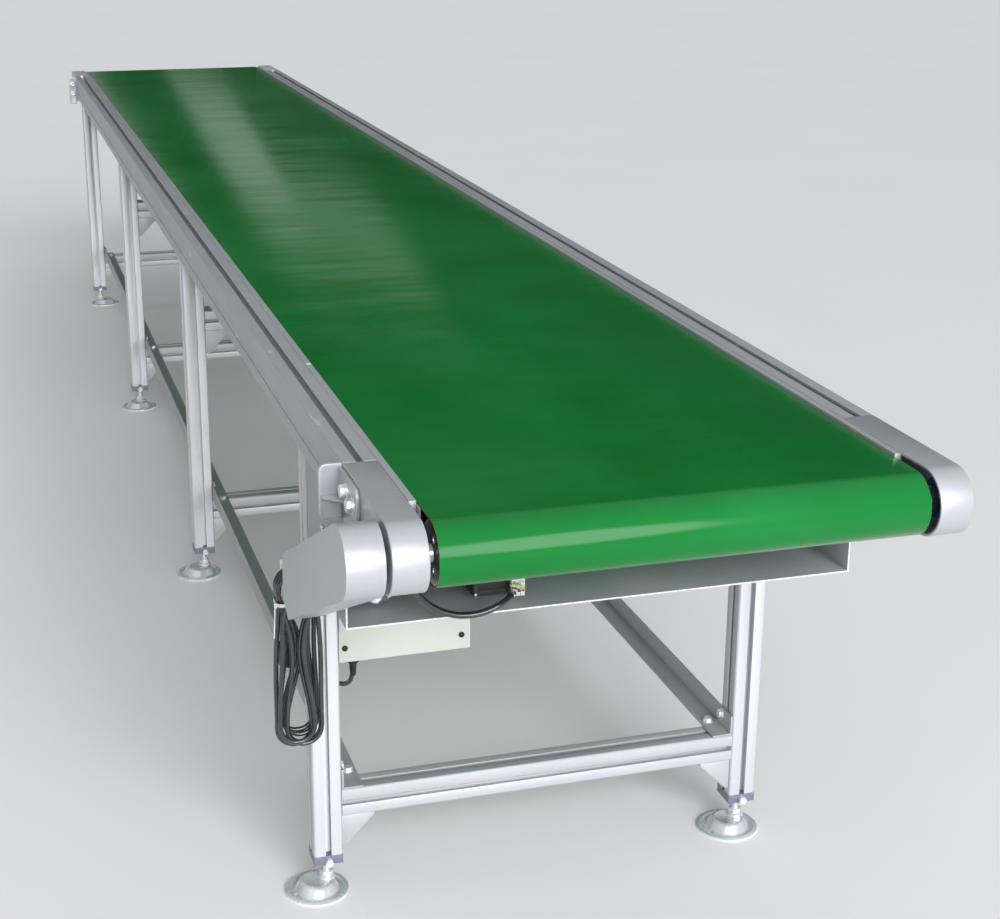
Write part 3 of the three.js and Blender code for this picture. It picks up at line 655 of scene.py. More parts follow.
def smooth(piece, angle):
    hold(piece)
    bpy.ops.object.shade_smooth_by_angle(angle=math.radians(angle))
    return piece


def painted(piece, material):
    """Gives a piece one material all over."""
    piece.data.materials.clear()
    piece.data.materials.append(material)
    return piece


def finished(piece, name, body, material, angle=35.0):
    """Names a piece, smooths it, and puts it on its body with its finish."""
    smooth(painted(piece, material), angle)
    piece.name = name
    piece.data.name = name
    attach(piece, body)
    return piece


def copied(piece, matrix):
    """A copy with its own mesh, moved by a matrix."""
    twin = bpy.data.objects.new(piece.name, piece.data.copy())
    bpy.context.scene.collection.objects.link(twin)
    twin.data.transform(matrix)
    if matrix.determinant() < 0:
        twin.data.flip_normals()
    return twin


def facing(point, direction, spin=0.0):
    """The matrix that carries a pattern piece made at the origin, looking up, to a point where it
    looks in a direction."""
    turn = Vector(direction).to_track_quat("Z", "Y").to_matrix().to_4x4()
    return Matrix.Translation(Vector(point)) @ turn @ Matrix.Rotation(spin, 4, "Z")


def cad_copy(node_name):
    """A clean copy of a CAD node's mesh, its points merged and its flat faces whole."""
    mesh = frame["nodes"][node_name].data.copy()
    piece = bpy.data.objects.new(node_name + "_finished", mesh)
    bpy.context.scene.collection.objects.link(piece)
    hold(piece)
    if mesh.has_custom_normals:
        bpy.ops.mesh.customdata_custom_splitnormals_clear()
    bpy.ops.object.mode_set(mode="EDIT")
    bpy.ops.mesh.select_all(action="SELECT")
    bpy.ops.mesh.remove_doubles(threshold=0.00001)
    bpy.ops.mesh.dissolve_limited(angle_limit=math.radians(0.5))
    bpy.ops.object.mode_set(mode="OBJECT")
    return piece


def body_of_node(node_name):
    return frame["nodes"][node_name]["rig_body"]


def refined(node_name, material, width, segments):
    """Stands for a CAD node with the same shape, its edges rounded as a real one's are."""
    piece = soften(cad_copy(node_name), width, segments)
    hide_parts(node_name)
    name = node_name + "_finished"
    return finished(piece, name, body_of_node(node_name), material)


# ---- Cords -------------------------------------------------------------------------------------

MOTOR_CABLE_DIAMETER = 0.008
MAINS_DIAMETER = 0.0065

MOTOR_CABLE_ROUTE = (
    (-0.122, 0.036, 0.520), (-0.124, 0.020, 0.520), (-0.130, 0.004, 0.522),
    (-0.143, -0.006, 0.519), (-0.162, -0.009, 0.513), (-0.183, -0.009, 0.5105),
    (-0.205, -0.009, 0.514), (-0.230, -0.008, 0.527), (-0.249, -0.007, 0.546),
    (-0.268, -0.004, 0.568), (-0.288, 0.005, 0.588), (-0.303, 0.022, 0.601),
    (-0.311, 0.048, 0.607), (-0.313, 0.080, 0.608), (-0.313, 0.120, 0.608),
    (-0.312, 0.160, 0.608), (-0.307, 0.195, 0.606), (-0.293, 0.225, 0.598),
    (-0.274, 0.250, 0.580), (-0.262, 0.268, 0.552), (-0.258, 0.275, 0.515),
    (-0.257, 0.276, 0.475), (-0.257, 0.276, 0.445), (-0.257, 0.276, 0.4255))

MAINS_ROUTE = (
    (-0.262, 0.276, 0.3447), (-0.262, 0.276, 0.325), (-0.263, 0.279, 0.308),
    (-0.268, 0.288, 0.294), (-0.278, 0.299, 0.290), (-0.292, 0.306, 0.298),
    (-0.308, 0.308, 0.316), (-0.325, 0.306, 0.340), (-0.340, 0.298, 0.368),
    (-0.348, 0.286, 0.398), (-0.351, 0.272, 0.428), (-0.351, 0.257, 0.451),
    (-0.350, 0.242, 0.468), (-0.350, 0.229, 0.475), (-0.350, 0.2167, 0.476))

INTO_HANK = (
    (-0.3511, 0.2075, 0.4745), (-0.3542, 0.1997, 0.4704), (-0.3589, 0.1945, 0.4642),
    (-0.3644, 0.1927, 0.4568), (-0.3690, 0.1923, 0.4420), (-0.3705, 0.1920, 0.4200))
OUT_OF_HANK = (
    (-0.3745, 0.2095, 0.474), (-0.373, 0.2135, 0.461), (-0.3675, 0.2200, 0.449),
    (-0.3600, 0.2285, 0.437), (-0.3545, 0.2350, 0.424), (-0.3525, 0.2378, 0.412),
    (-0.3520, 0.2380, 0.4005))

# One row for each turn of the hank: the depth of its slot on the peg, its upper fold's radius, the
# middle and height of its lower fold, and where its two runs hang halfway down.
HANK_TURNS = (
    (0.1905, 0.0222, -0.3546, 0.2900, -0.3715, -0.3445),
    (0.1948, 0.0240, -0.3450, 0.2845, -0.3580, -0.3215),
    (0.1991, 0.0224, -0.3572, 0.2835, -0.3790, -0.3490),
    (0.2034, 0.0242, -0.3486, 0.2945, -0.3515, -0.3280),
    (0.2077, 0.0226, -0.3516, 0.2990, -0.3650, -0.3385),
    (0.2120, 0.0244, -0.3426, 0.2775, -0.3440, -0.3340))
HANK_STEPS = 32                 # points in one turn
PEG_X = -0.350
FOLD_TOP = 0.4785               # height of the upper folds' centre
FOLD_LOW = 0.0225               # radius of the lower folds
RUN_SHARE = 0.30                # part of a turn that one run takes


def eased(share):
    """From 0 to 1 with a level start and end."""
    return share * share * (3 - 2 * share)


def run_point(share, top, middle, bottom):
    """How far across a hanging run is, from its upper fold to its lower one."""
    straight = top + (bottom - top) * eased(share)
    return straight + (middle - (top + bottom) / 2) * math.sin(math.pi * share ** 0.8) ** 2


def hank_point(turn, share):
    """A point on one turn of the hank: down its left run, round the lower fold, up its right run
    and over the peg."""
    depth, fold, low_x, low_z, left, right = HANK_TURNS[turn]
    next_depth, next_fold = HANK_TURNS[min(turn + 1, len(HANK_TURNS) - 1)][:2]
    bend = 0.5 - RUN_SHARE
    y = depth
    if share < RUN_SHARE:
        down = share / RUN_SHARE
        x = run_point(down, PEG_X - fold, left, low_x - FOLD_LOW)
        z = FOLD_TOP + (low_z - FOLD_TOP) * down
    elif share < 0.5:
        angle = math.pi * (share - RUN_SHARE) / bend
        x = low_x - FOLD_LOW * math.cos(angle)
        z = low_z - FOLD_LOW * math.sin(angle)
    elif share < 0.5 + RUN_SHARE:
        up = (share - 0.5) / RUN_SHARE
        x = run_point(1 - up, PEG_X + fold, right, low_x + FOLD_LOW)
        z = low_z + (FOLD_TOP - low_z) * up
    else:
        angle = math.pi * (share - 0.5 - RUN_SHARE) / bend
        over = eased(angle / math.pi)
        radius = fold + (next_fold - fold) * over
        x = PEG_X + radius * math.cos(angle)
        z = FOLD_TOP + radius * math.sin(angle)
        y = depth + (next_depth - depth) * over
    loose = math.sin(math.pi * min(1.0, (FOLD_TOP + fold - z) / (FOLD_TOP - low_z)))
    y += 0.0014 * math.sin(11.0 * share + 2.3 * turn) * max(0.0, loose)
    return (x, y, z)


def mains_points():
    """The mains lead's whole line: up from the control box, through the hank and to the plug."""
    points = list(MAINS_ROUTE) + list(INTO_HANK)
    for turn in range(len(HANK_TURNS)):
        first = 4 if turn == 0 else 0
        points += [hank_point(turn, step / HANK_STEPS) for step in range(first, HANK_STEPS)]
    return points + list(OUT_OF_HANK)


def tube(name, points, diameter, material, rings=5):
    """A round cord along a smooth line through points."""
    data = bpy.data.curves.new(name, "CURVE")
    data.dimensions = "3D"
    data.bevel_depth = diameter / 2
    data.bevel_resolution = rings
    data.resolution_u = 5
    data.use_fill_caps = True
    line = data.splines.new("BEZIER")
    line.bezier_points.add(len(points) - 1)
    for point, place in zip(line.bezier_points, points):
        point.co = place
        point.handle_left_type = "AUTO"
        point.handle_right_type = "AUTO"
    data.materials.append(material)
    cord = bpy.data.objects.new(name, data)
    bpy.context.scene.collection.objects.link(cord)
    return cord


def make_motor_cable():
    cord = tube("motor_cable_cord", [at(*p) for p in MOTOR_CABLE_ROUTE],
                MOTOR_CABLE_DIAMETER, SHEATH)
    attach(cord, "frame")
    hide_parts("motor_cable")
    return cord


def make_mains_lead():
    cord = tube("mains_lead_cord", [at(*p) for p in mains_points()], MAINS_DIAMETER, SHEATH)
    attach(cord, "frame")
    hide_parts("mains_lead", "cable_hank")
    return cord


def gland(name, point, direction, cable_radius, reach):
    """A cable gland: a hexagon on the housing, a domed nut and a tapered sleeve on the cable."""
    base = soften(add_rod("Z", 0.0105, (0, 0, 0), 0.0045, 6), 0.0006)
    nut = add_rod("Z", 0.0088, (0, 0, 0.0045), 0.009, 14)
    pick(nut, "FACE", lambda middle, normal: normal.z > 0.9)
    narrow(0.0028)
    bpy.ops.transform.translate(value=(0, 0, 0.0022))
    done_editing()
    sleeve = add_rod("Z", cable_radius + 0.0022, (0, 0, 0.012), reach, 20)
    pick(sleeve, "FACE", lambda middle, normal: normal.z > 0.9)
    share = (cable_radius + 0.0006) / (cable_radius + 0.0022)
    scale_about((0, 0, 0.012 + reach), (share, share, 1))
    done_editing()
    whole = joined(base, soften(nut, 0.0004), soften(sleeve, 0.0003))
    twin = copied(whole, facing(point, direction))
    bpy.data.objects.remove(whole)
    return finished(twin, name, "frame", BLACK_PLASTIC)


def make_plug():
    """A two-pin plug: a waisted grip with ribs, a flexible neck and two round pins."""
    low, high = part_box("mains_plug")
    middle = (low + high) / 2
    radius = (high.y - low.y) / 2
    top = high.z
    body = add_rod("Z", radius, (middle.x, middle.y, top - 0.042), 0.028, 40)
    pick(body, "FACE", lambda point, normal: normal.z > 0.9)
    narrow(0.0045)
    push((0, 0, 0.004))
    scale_about((middle.x, middle.y, top - 0.01), (0.66, 0.66, 1))
    done_editing()
    work(body, DOWN, (0.003,), (0, 0, 0.0016))
    soften(body, 0.0012, 3)
    grips = []
    for step in range(14):
        angle = step * 2 * math.pi / 14
        rib = add_block((-0.0008, -0.0008, top - 0.039), (0.0008, 0.0008, top - 0.018))
        soften(rib, 0.0005)
        out = Vector((math.cos(angle), math.sin(angle), 0)) * (radius - 0.0003)
        grips.append(copied(rib, Matrix.Translation(out + Vector((middle.x, middle.y, 0)))))
        bpy.data.objects.remove(rib)
    neck = []
    for ring in range(4):
        start = (middle.x, middle.y, top - 0.0125 + ring * 0.0029)
        neck.append(soften(add_rod("Z", 0.0078 - 0.0008 * ring, start, 0.0021, 24), 0.0005))
    core = add_rod("Z", 0.0046, (middle.x, middle.y, top - 0.014), 0.0136, 20)
    plug = joined(body, core, *grips, *neck)
    finished(plug, "mains_plug_body", "frame", BLACK_PLASTIC)
    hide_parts("mains_plug")
    pins = []
    for side in (-1, 1):
        foot = (middle.x + side * 0.0095, middle.y, low.z)
        pin = add_rod("Z", 0.0024, foot, 0.0225, 16)
        pins.append(soften(pin, 0.0008))
    both = finished(joined(*pins), "mains_plug_pins", "frame", ZINC)
    return plug, both


def make_hank_tie():
    """A flat tie round the hank under the peg, its tail hanging at the left."""
    middle = at(PEG_X, 0.2012, 0.4620)
    reach = Vector((0.0282, 0.0152, 0.0022))
    band = add_block(middle - reach, middle + reach)
    rounded(band, 0.009, 6, lambda point, line: abs(line.z) > 0.9)
    hollow = add_block(middle - reach + Vector((0.001, 0.001, -0.01)),
                       middle + reach + Vector((-0.001, -0.001, 0.01)))
    rounded(hollow, 0.0082, 6, lambda point, line: abs(line.z) > 0.9)
    cut_away(band, hollow)
    tail = add_block(middle + Vector((-0.0295, -0.0120, -0.044)),
                     middle + Vector((-0.0283, -0.0085, 0.0022)))
    pick(tail, "FACE", lambda point, normal: normal.z < -0.9)
    bpy.ops.transform.translate(value=(-0.0030, -0.0025, 0))
    done_editing()
    knot = add_block(middle + Vector((-0.0302, -0.0132, -0.0035)),
                     middle + Vector((-0.0270, -0.0075, 0.0035)))
    tie = joined(band, soften(tail, 0.0003), soften(knot, 0.0008))
    return finished(tie, "hank_tie", "frame", WHITE_PLASTIC)


def declare_cords():
    """Builds the motor cable and the mains lead, with their glands, the plug and the hank tie."""
    motor_cable = make_motor_cable()
    motor_gland = gland("control_box_gland_top", at(-0.257, 0.276, 0.4252), (0, 0, 1),
                        MOTOR_CABLE_DIAMETER / 2, 0.018)
    lead = make_mains_lead()
    lead_gland = gland("control_box_gland_bottom", at(-0.262, 0.276, 0.3449), (0, 0, -1),
                       MAINS_DIAMETER / 2, 0.022)
    plug, pins = make_plug()
    tie = make_hank_tie()


# ---- Belt --------------------------------------------------------------------------------------


def make_belt():
    """The endless belt: a loop of 2 mm belting round the head and tail drums."""
    thickness = 0.002
    radius = (belt_high.z - belt_low.z) / 2
    width = belt_high.x - belt_low.x
    head = Vector((belt_low.x, belt_low.y + radius, (belt_low.z + belt_high.z) / 2))
    run = (belt_high.y - radius) - head.y
    clear_selection()
    bpy.ops.mesh.primitive_circle_add(
        vertices=160, radius=radius, location=head, rotation=(0, math.pi / 2, 0))
    piece = apply_place()
    pick(piece, "VERT", lambda point, normal: point.y > head.y + 0.0001)
    bpy.ops.transform.translate(value=(0, run, 0))
    bpy.ops.mesh.select_mode(type="EDGE")
    bpy.ops.mesh.select_all(action="SELECT")
    bpy.ops.mesh.extrude_region_move(TRANSFORM_OT_translate={"value": (width, 0, 0)})
    bpy.ops.mesh.select_all(action="SELECT")
    bpy.ops.mesh.normals_make_consistent(inside=False)
    done_editing()
    wall = piece.modifiers.new("thickness", "SOLIDIFY")
    wall.thickness = thickness
    wall.offset = -1
    hold(piece)
    bpy.ops.object.modifier_apply(modifier=wall.name)
    soften(piece, 0.0004, 2, 60)
    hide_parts("conveyor_belt")
    return finished(piece, "belt", "frame", BELTING, 40)


# ---- Fasteners ---------------------------------------------------------------------------------


def hex_bolt(radius, height, washer=0.0):
    """A hexagon bolt head on its washer, made at the origin looking up."""
    head = add_rod("Z", radius, (0, 0, 0.0012), height, 6)
    work(head, UP, (radius * 0.12, radius * 0.06), (radius * 0.35,), (radius * 0.04, -radius * 0.05))
    soften(head, radius * 0.05, 2, 25)
    ring = add_rod("Z", washer or radius * 1.22, (0, 0, 0), 0.0013, 28)
    return joined(head, work(ring, UP, (0.0006, 0.0002)))


def pan_screw(radius, height):
    """A domed screw head with a cross recess, made at the origin looking up."""
    head = add_rod("Z", radius, (0, 0, 0), height * 0.45, 24)
    work(head, UP, (radius * 0.18, height * 0.3), (radius * 0.25, height * 0.17),
         (radius * 0.3, height * 0.08))
    for turn in (0, math.pi / 2):
        cut = add_block((-radius * 0.55, -radius * 0.1, height * 0.55),
                        (radius * 0.55, radius * 0.1, height * 1.4))
        cut.data.transform(Matrix.Rotation(turn, 4, "Z"))
        cut_away(head, cut)
    return head


def fastened(name, pattern, places, material=ZINC):
    """One piece of the pattern's copies, each place given as point, direction and spin."""
    copies = [copied(pattern, facing(*place)) for place in places]
    bpy.data.objects.remove(pattern)
    return finished(joined(*copies), name, "frame", material)


def leg_middle(pair):
    """The middle of a leg pair along the belt, from the rails' head ends."""
    return centre_of(f"leg_left_{pair}").y - HEAD_Y


# ---- Brackets and castings on the frame --------------------------------------------------------


def make_gusset():
    """A die-cast corner gusset, made at the origin: it reaches +X and down from its corner, with a
    flange on each face, two side webs and an open pocket."""
    size, half, lip = 0.046, 0.0165, 0.0048
    piece = sliced(add_block((0, -half, -size), (size, half, 0)), (size, 0, -lip), (1, 0, -1))
    pick(piece, "FACE", lambda middle, normal: normal.x > 0.6 and normal.z < -0.6)
    narrow(0.0032)
    push((-0.0105, 0, 0.0105))
    middle = (size - lip) / 2 - 0.006
    scale_about((middle, 0, -middle), (0.46, 0.94, 0.46))
    done_editing()
    return soften(piece, 0.0006, 2, 25)


def make_gussets():
    """Gussets under every cross member, each with a screw into the leg and one into the member."""
    gusset = make_gusset()
    inner = MIDDLE_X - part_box("leg_left_1")[1].x
    members = [("below", "lower_cross_member", pair) for pair in LEG_PAIRS]
    members += [("upper", "upper_cross_member", pair) for pair in MIDDLE_PAIRS]
    for label, member, pair in members:
        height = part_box(f"{member}_{pair}")[0].z - TOUCH
        for side, sign in SIDES:
            corner = at(sign * (inner - TOUCH), leg_middle(pair), height)
            turned = Matrix.Translation(corner) @ Matrix.Diagonal((-sign, 1, 1, 1))
            name = f"gusset_{label}_{side}_{pair}"
            finished(copied(gusset, turned), name, "frame", CAST_PAINT, 30)
            fastened(name + "_screws", hex_bolt(0.0045, 0.0035), (
                (corner + Vector((-sign * 0.0044, 0, -0.033)), (-sign, 0, 0), 0.3),
                (corner + Vector((-sign * 0.033, 0, -0.0044)), DOWN, 0.1)))
    bpy.data.objects.remove(gusset)


def make_brace_bolts():
    """Bolts through the long braces into every leg and cross member."""
    for side, sign in SIDES:
        places = []
        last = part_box("long_brace_" + side)[1].y - HEAD_Y - 0.012
        for pair in LEG_PAIRS:
            middle = leg_middle(pair)
            beside = middle + (0.0125 if pair < 4 else -0.0125)
            along = min(last, middle + (0.026 if pair == 1 else -0.026))
            places.append((at(sign * 0.2837, beside, 0.1765), (-sign, 0, 0), 0.2 + pair))
            places.append((at(sign * 0.2685, along, 0.1594), UP, 0.5 * pair))
        fastened(f"brace_bolts_{side}", hex_bolt(0.0065, 0.0045), places)


def make_leg_end_bolts():
    """The end-block screw in each leg's front slot."""
    for side, _ in SIDES:
        places = []
        for pair in LEG_PAIRS:
            low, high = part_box(f"leg_{side}_{pair}")
            point = ((low.x + high.x) / 2, low.y - TOUCH, low.z + 0.0048)
            places.append((point, FRONT, 0.4 * pair))
        fastened(f"leg_end_bolts_{side}", hex_bolt(0.0060, 0.0062, 0.0052), places)


def make_roller_brackets():
    """Folded brackets that hang the return rollers from the rails."""
    mirror = Matrix.Translation((2 * MIDDLE_X, 0, 0)) @ Matrix.Diagonal((-1, 1, 1, 1))
    for pair in MIDDLE_PAIRS:
        axis = centre_of(f"return_roller_{pair}")
        y = axis.y - HEAD_Y
        front, back = y - 0.021, y + 0.021
        for side, sign in SIDES:
            plate = add_block(at(-0.2990, front, 0.5985), at(-0.2960, back, 0.6437))
            flange = add_block(at(-0.3250, front, 0.6407), at(-0.2988, back, 0.6437))
            rib = add_block(at(-0.3180, front, 0.6180), at(-0.2988, front + 0.003, 0.6410))
            sliced(rib, at(-0.3180, y, 0.6370), (-1, 0, -0.85))
            rounded(plate, 0.012, 6, lambda point, line: abs(line.x) > 0.9 and point.z < 0.60)
            cut_away(plate, add_rod("X", 0.0064, at(-0.31, y, axis.z), 0.03))
            whole = joined(soften(plate, 0.0005), soften(flange, 0.0005), soften(rib, 0.0004))
            if sign > 0:
                whole.data.transform(mirror)
                whole.data.flip_normals()
            name = f"roller_bracket_{side}_{pair}"
            finished(whole, name, "frame", GREY_SHEET)
            place = (at(sign * 0.3125, y, 0.6405), DOWN, 0.3)
            fastened(name + "_bolt", hex_bolt(0.0062, 0.0045), (place,))


def corner_plate(y_front, z_low, z_high, x_out):
    """The upright plate of a corner casting, with rounded outer corners and a sunk field."""
    plate = add_block(at(x_out, y_front, z_low), at(-0.3302, y_front + 0.009, z_high))
    outer = at(x_out, 0, 0).x + 0.001
    rounded(plate, 0.008, 5, lambda point, line: abs(line.y) > 0.9 and point.x < outer)
    work(plate, FRONT, (0.0030,), (0, 0.0006, 0))
    return soften(plate, 0.0008, 2, 30)


CORNER_BOLT = (0.0080, 0.0068)
BRACKET_BOLT = (0.0075, 0.0048)
# Each row: name, bolt size, the way the heads look, and each bolt's x, y, z and spin.
BRACKET_BOLTS = (
    ("head_corner_bolts", CORNER_BOLT, LEFT,
     ((-0.3347, -0.042, 0.6915, 0.2), (-0.3347, -0.073, 0.6855, 0.5))),
    ("tail_corner_bolts", CORNER_BOLT, FRONT,
     ((-0.3410, 3.9742, 0.685, 0.2), (-0.3410, 3.9742, 0.655, 0.5))),
    ("head_bracket_bolts_right", BRACKET_BOLT, RIGHT,
     ((0.3301, -0.042, 0.6915, 0.2), (0.3301, -0.073, 0.6855, 0.5), (0.3301, -0.042, 0.6515, 0.7))),
    ("tail_bracket_bolts_left", BRACKET_BOLT, LEFT,
     ((-0.3301, 4.010, 0.690, 0.2), (-0.3301, 4.045, 0.690, 0.8), (-0.3301, 4.010, 0.652, 1.3))),
    ("tail_bracket_bolts_right", BRACKET_BOLT, RIGHT,
     ((0.3301, 4.010, 0.690, 0.2), (0.3301, 4.045, 0.690, 0.8), (0.3301, 4.010, 0.652, 1.3))))


def make_corner_castings():
    """Castings at the left rail's two ends, and the bolts of the head and tail brackets."""
    plate = corner_plate(0.0005, 0.644, 0.7095, -0.357)
    flange = add_block(at(-0.3347, -0.088, 0.668), at(-0.3302, 0.0008, 0.7065))
    near = at(0, -0.08, 0).y
    rounded(flange, 0.010, 5, lambda point, line: abs(line.x) > 0.9 and point.y < near)
    rib = add_block(at(-0.3545, -0.030, 0.6700), at(-0.3345, 0.0008, 0.6735))
    sliced(rib, at(-0.3545, -0.003, 0.6700), (-1.25, -1, 0))
    head = joined(plate, soften(flange, 0.001), soften(rib, 0.0006))
    finished(head, "head_corner_casting", "frame", CAST_PAINT)
    tail = corner_plate(3.9720, 0.622, 0.7060, -0.352)
    finished(tail, "tail_corner_casting", "frame", CAST_PAINT)
    for name, size, out, places in BRACKET_BOLTS:
        fastened(name, hex_bolt(*size), [(at(x, y, z), out, spin) for x, y, z, spin in places])


# ---- Levelling feet ----------------------------------------------------------------------------

PAD_AWAY = 0.016                # pad's middle from the stem
PAD_SIDES = 56
PAD_LOBES = 8                   # dents round the raised middle
CORE, CREST = 0.0052, 0.0059    # thread's radii
HALF_PITCH = 0.0007


def make_foot_pattern():
    """A levelling foot, its stem at the origin and its pad towards +X: a pressed cup with a curled
    rim, a raised middle and an anchor hole, then a cone, a nut and a threaded stem."""
    pad = add_rod("Z", 0.0425, (PAD_AWAY, 0, 0), 0.0032, PAD_SIDES)
    work(pad, UP, (0.0022, 0.0014), (0.0022, 0.0002), (0.0026, -0.0016), (0.0046, 0.0),
         (0.0050, 0.0088), (0.0028, 0.0026), (0.0040, 0.0012), (0.0015, -0.0006))
    work(pad, DOWN, (0.0025,), (0, 0, 0.0015))
    pick(pad, "FACE", lambda middle, normal: math.hypot(middle.x - PAD_AWAY, middle.y) > 0.0415)
    scale_about((PAD_AWAY, 0, 0), (0.044 / 0.0425, 0.044 / 0.0425, 1))
    done_editing()

    def at_a_dent(place, normal):
        side = math.atan2(place.y, place.x - PAD_AWAY) / (2 * math.pi) * PAD_SIDES
        return place.z > 0.009 and round(side) % (PAD_SIDES // PAD_LOBES) == 0

    pick(pad, "VERT", at_a_dent)
    scale_about((PAD_AWAY, 0, 0), (0.965, 0.965, 1))
    done_editing()
    cut_away(pad, add_rod("Z", 0.0034, (PAD_AWAY + 0.0336, 0, -0.01), 0.03, 24))
    soften(pad, 0.0004, 2, 25)
    cone = add_rod("Z", 0.0125, (0, 0, 0.0145), 0.0045)
    pick(cone, "FACE", lambda middle, normal: normal.z > 0.9)
    scale_about((0, 0, 0.019), (0.72, 0.72, 1))
    narrow(0.001, 0.0006)
    done_editing()
    nut = add_rod("Z", 0.0098, (0, 0, 0.0196), 0.0062, 6)
    for face in (UP, DOWN):
        work(nut, face, (0.0012, 0.0005))
    stem = add_rod("Z", CORE, (0, 0, 0.0255), 0.0010, 20)
    pick(stem, "FACE", lambda middle, normal: normal.z > 0.9)
    height = 0.0265
    for _ in range(20):
        for factor in (CREST / CORE, CORE / CREST):
            push((0, 0, HALF_PITCH))
            scale_about((0, 0, height), (factor, factor, 1))
        height += 2 * HALF_PITCH
    push((0, 0, 0.082 - height))
    done_editing()
    return joined(pad, soften(cone, 0.0003), soften(nut, 0.0003), stem)


def make_feet():
    """Each foot on its own body, its pad turned as its CAD pad is."""
    pattern = make_foot_pattern()
    for side, _ in SIDES:
        for pair in LEG_PAIRS:
            node_name = f"levelling_foot_{side}_{pair}"
            pad = centre_of(node_name)
            stem = centre_of(f"leg_{side}_{pair}")
            turn = math.atan2(pad.y - stem.y, pad.x - stem.x)
            place = Matrix.Translation((stem.x, stem.y, 0)) @ Matrix.Rotation(turn, 4, "Z")
            foot = copied(pattern, place)
            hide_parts(node_name)
            finished(foot, f"foot_{side}_{pair}", body_of_node(node_name), ZINC, 32)
    bpy.data.objects.remove(pattern)


# ---- Drive -------------------------------------------------------------------------------------

MOTOR_Y, MOTOR_Z = 0.11203, 0.54601
FINS = 36
GEARBOX_HALF = 0.042


def make_motor():
    """The motor: a finned barrel with a flange, a fan cover with an air grille, and its terminal
    box with a screwed lid."""
    barrel = add_rod("X", 0.0365, at(-0.2500, MOTOR_Y, MOTOR_Z), 0.112, 72)
    fin = add_block((0, -0.0009, 0.0350), (0.096, 0.0009, 0.0415))
    pick(fin, "FACE", lambda middle, normal: normal.z > 0.9)
    scale_about((0.048, 0, 0.0415), (0.97, 0.55, 1))
    done_editing()
    start = Matrix.Translation(at(-0.2420, MOTOR_Y, MOTOR_Z))
    fins = [copied(fin, start @ Matrix.Rotation(step * 2 * math.pi / FINS, 4, "X"))
            for step in range(FINS)]
    bpy.data.objects.remove(fin)
    finned = joined(soften(barrel, 0.0004), *fins)
    finished(finned, "motor_barrel", "frame", BLACK_ENAMEL)
    flange = add_rod("X", 0.0420, at(-0.2624, MOTOR_Y, MOTOR_Z), 0.0140, 72)
    work(flange, RIGHT, (0.003, 0.0012))
    bell = add_rod("X", 0.0405, at(-0.1460, MOTOR_Y, MOTOR_Z), 0.0080, 72)
    cover = add_rod("X", 0.0420, at(-0.1400, MOTOR_Y, MOTOR_Z), 0.0340, 72)
    ring = ((0.0022,), (-0.0030, 0, 0), (0.0022,), (0.0030, 0, 0))
    work(cover, RIGHT, (0.0045, 0.0034), *ring * 4)
    case = joined(soften(flange, 0.0006), soften(bell, 0.0006), soften(cover, 0.0005))
    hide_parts("gear_motor")
    finished(case, "motor_covers", "frame", BLACK_ENAMEL)
    box = add_block(at(-0.1614, 0.0510, 0.5070), at(-0.1034, 0.1120, 0.5420))
    work(box, FRONT, (0.0012,), (0, -0.0006, 0))
    lid = add_block(at(-0.1614, 0.0482, 0.5072), at(-0.1034, 0.0508, 0.5418))
    work(lid, FRONT, (0.0050,), (0.0006, -0.0006), (0.0010,), (0, -0.0006, 0))
    whole = joined(soften(box, 0.0012, 3), soften(lid, 0.0008, 2))
    finished(whole, "motor_terminal_box", "frame", BLACK_ENAMEL)
    fastened("terminal_lid_screws", pan_screw(0.0019, 0.0014), [
        (at(x, 0.0482, z), FRONT, x * 90) for x in (-0.1588, -0.1060) for z in (0.5096, 0.5394)])


def make_gearbox_details():
    """Ribs, cover bolts and oil plugs on the gearbox."""
    refined("gearbox", GEARBOX, 0.003, 3)
    rib = add_block((-0.0015, -0.0012, -0.030), (0.0015, 0.0012, 0.030))
    pick(rib, "FACE", lambda middle, normal: normal.y < -0.9)
    scale_about((0, 0, 0), (0.6, 1, 0.92))
    done_editing()
    soften(rib, 0.0004)
    ribs = []
    for x in (-0.312, -0.302, -0.292, -0.282, -0.272):
        for turn in (0, math.pi):
            out = Matrix.Rotation(turn, 4, "Z") @ Matrix.Translation((0, -GEARBOX_HALF - 0.0010, 0))
            ribs.append(copied(rib, Matrix.Translation(at(x, MOTOR_Y, MOTOR_Z)) @ out))
    bpy.data.objects.remove(rib)
    finished(joined(*ribs), "gearbox_ribs", "frame", GEARBOX)
    places = []
    for y in (-0.032, 0.032):
        for z in (-0.032, 0.032):
            places.append((at(-0.3228, MOTOR_Y + y, MOTOR_Z + z), LEFT, 5 * y))
            places.append((at(-0.2626, MOTOR_Y + y * 1.12, MOTOR_Z + z * 1.12), RIGHT, 5 * z))
    fastened("gearbox_bolts", hex_bolt(0.0045, 0.0030), places)
    fastened("oil_plugs", hex_bolt(0.0070, 0.0055), (
        (at(-0.2927, MOTOR_Y, MOTOR_Z + GEARBOX_HALF), UP, 0.2),
        (at(-0.2780, MOTOR_Y - GEARBOX_HALF - TOUCH, MOTOR_Z - 0.0335), FRONT, 0.2)))


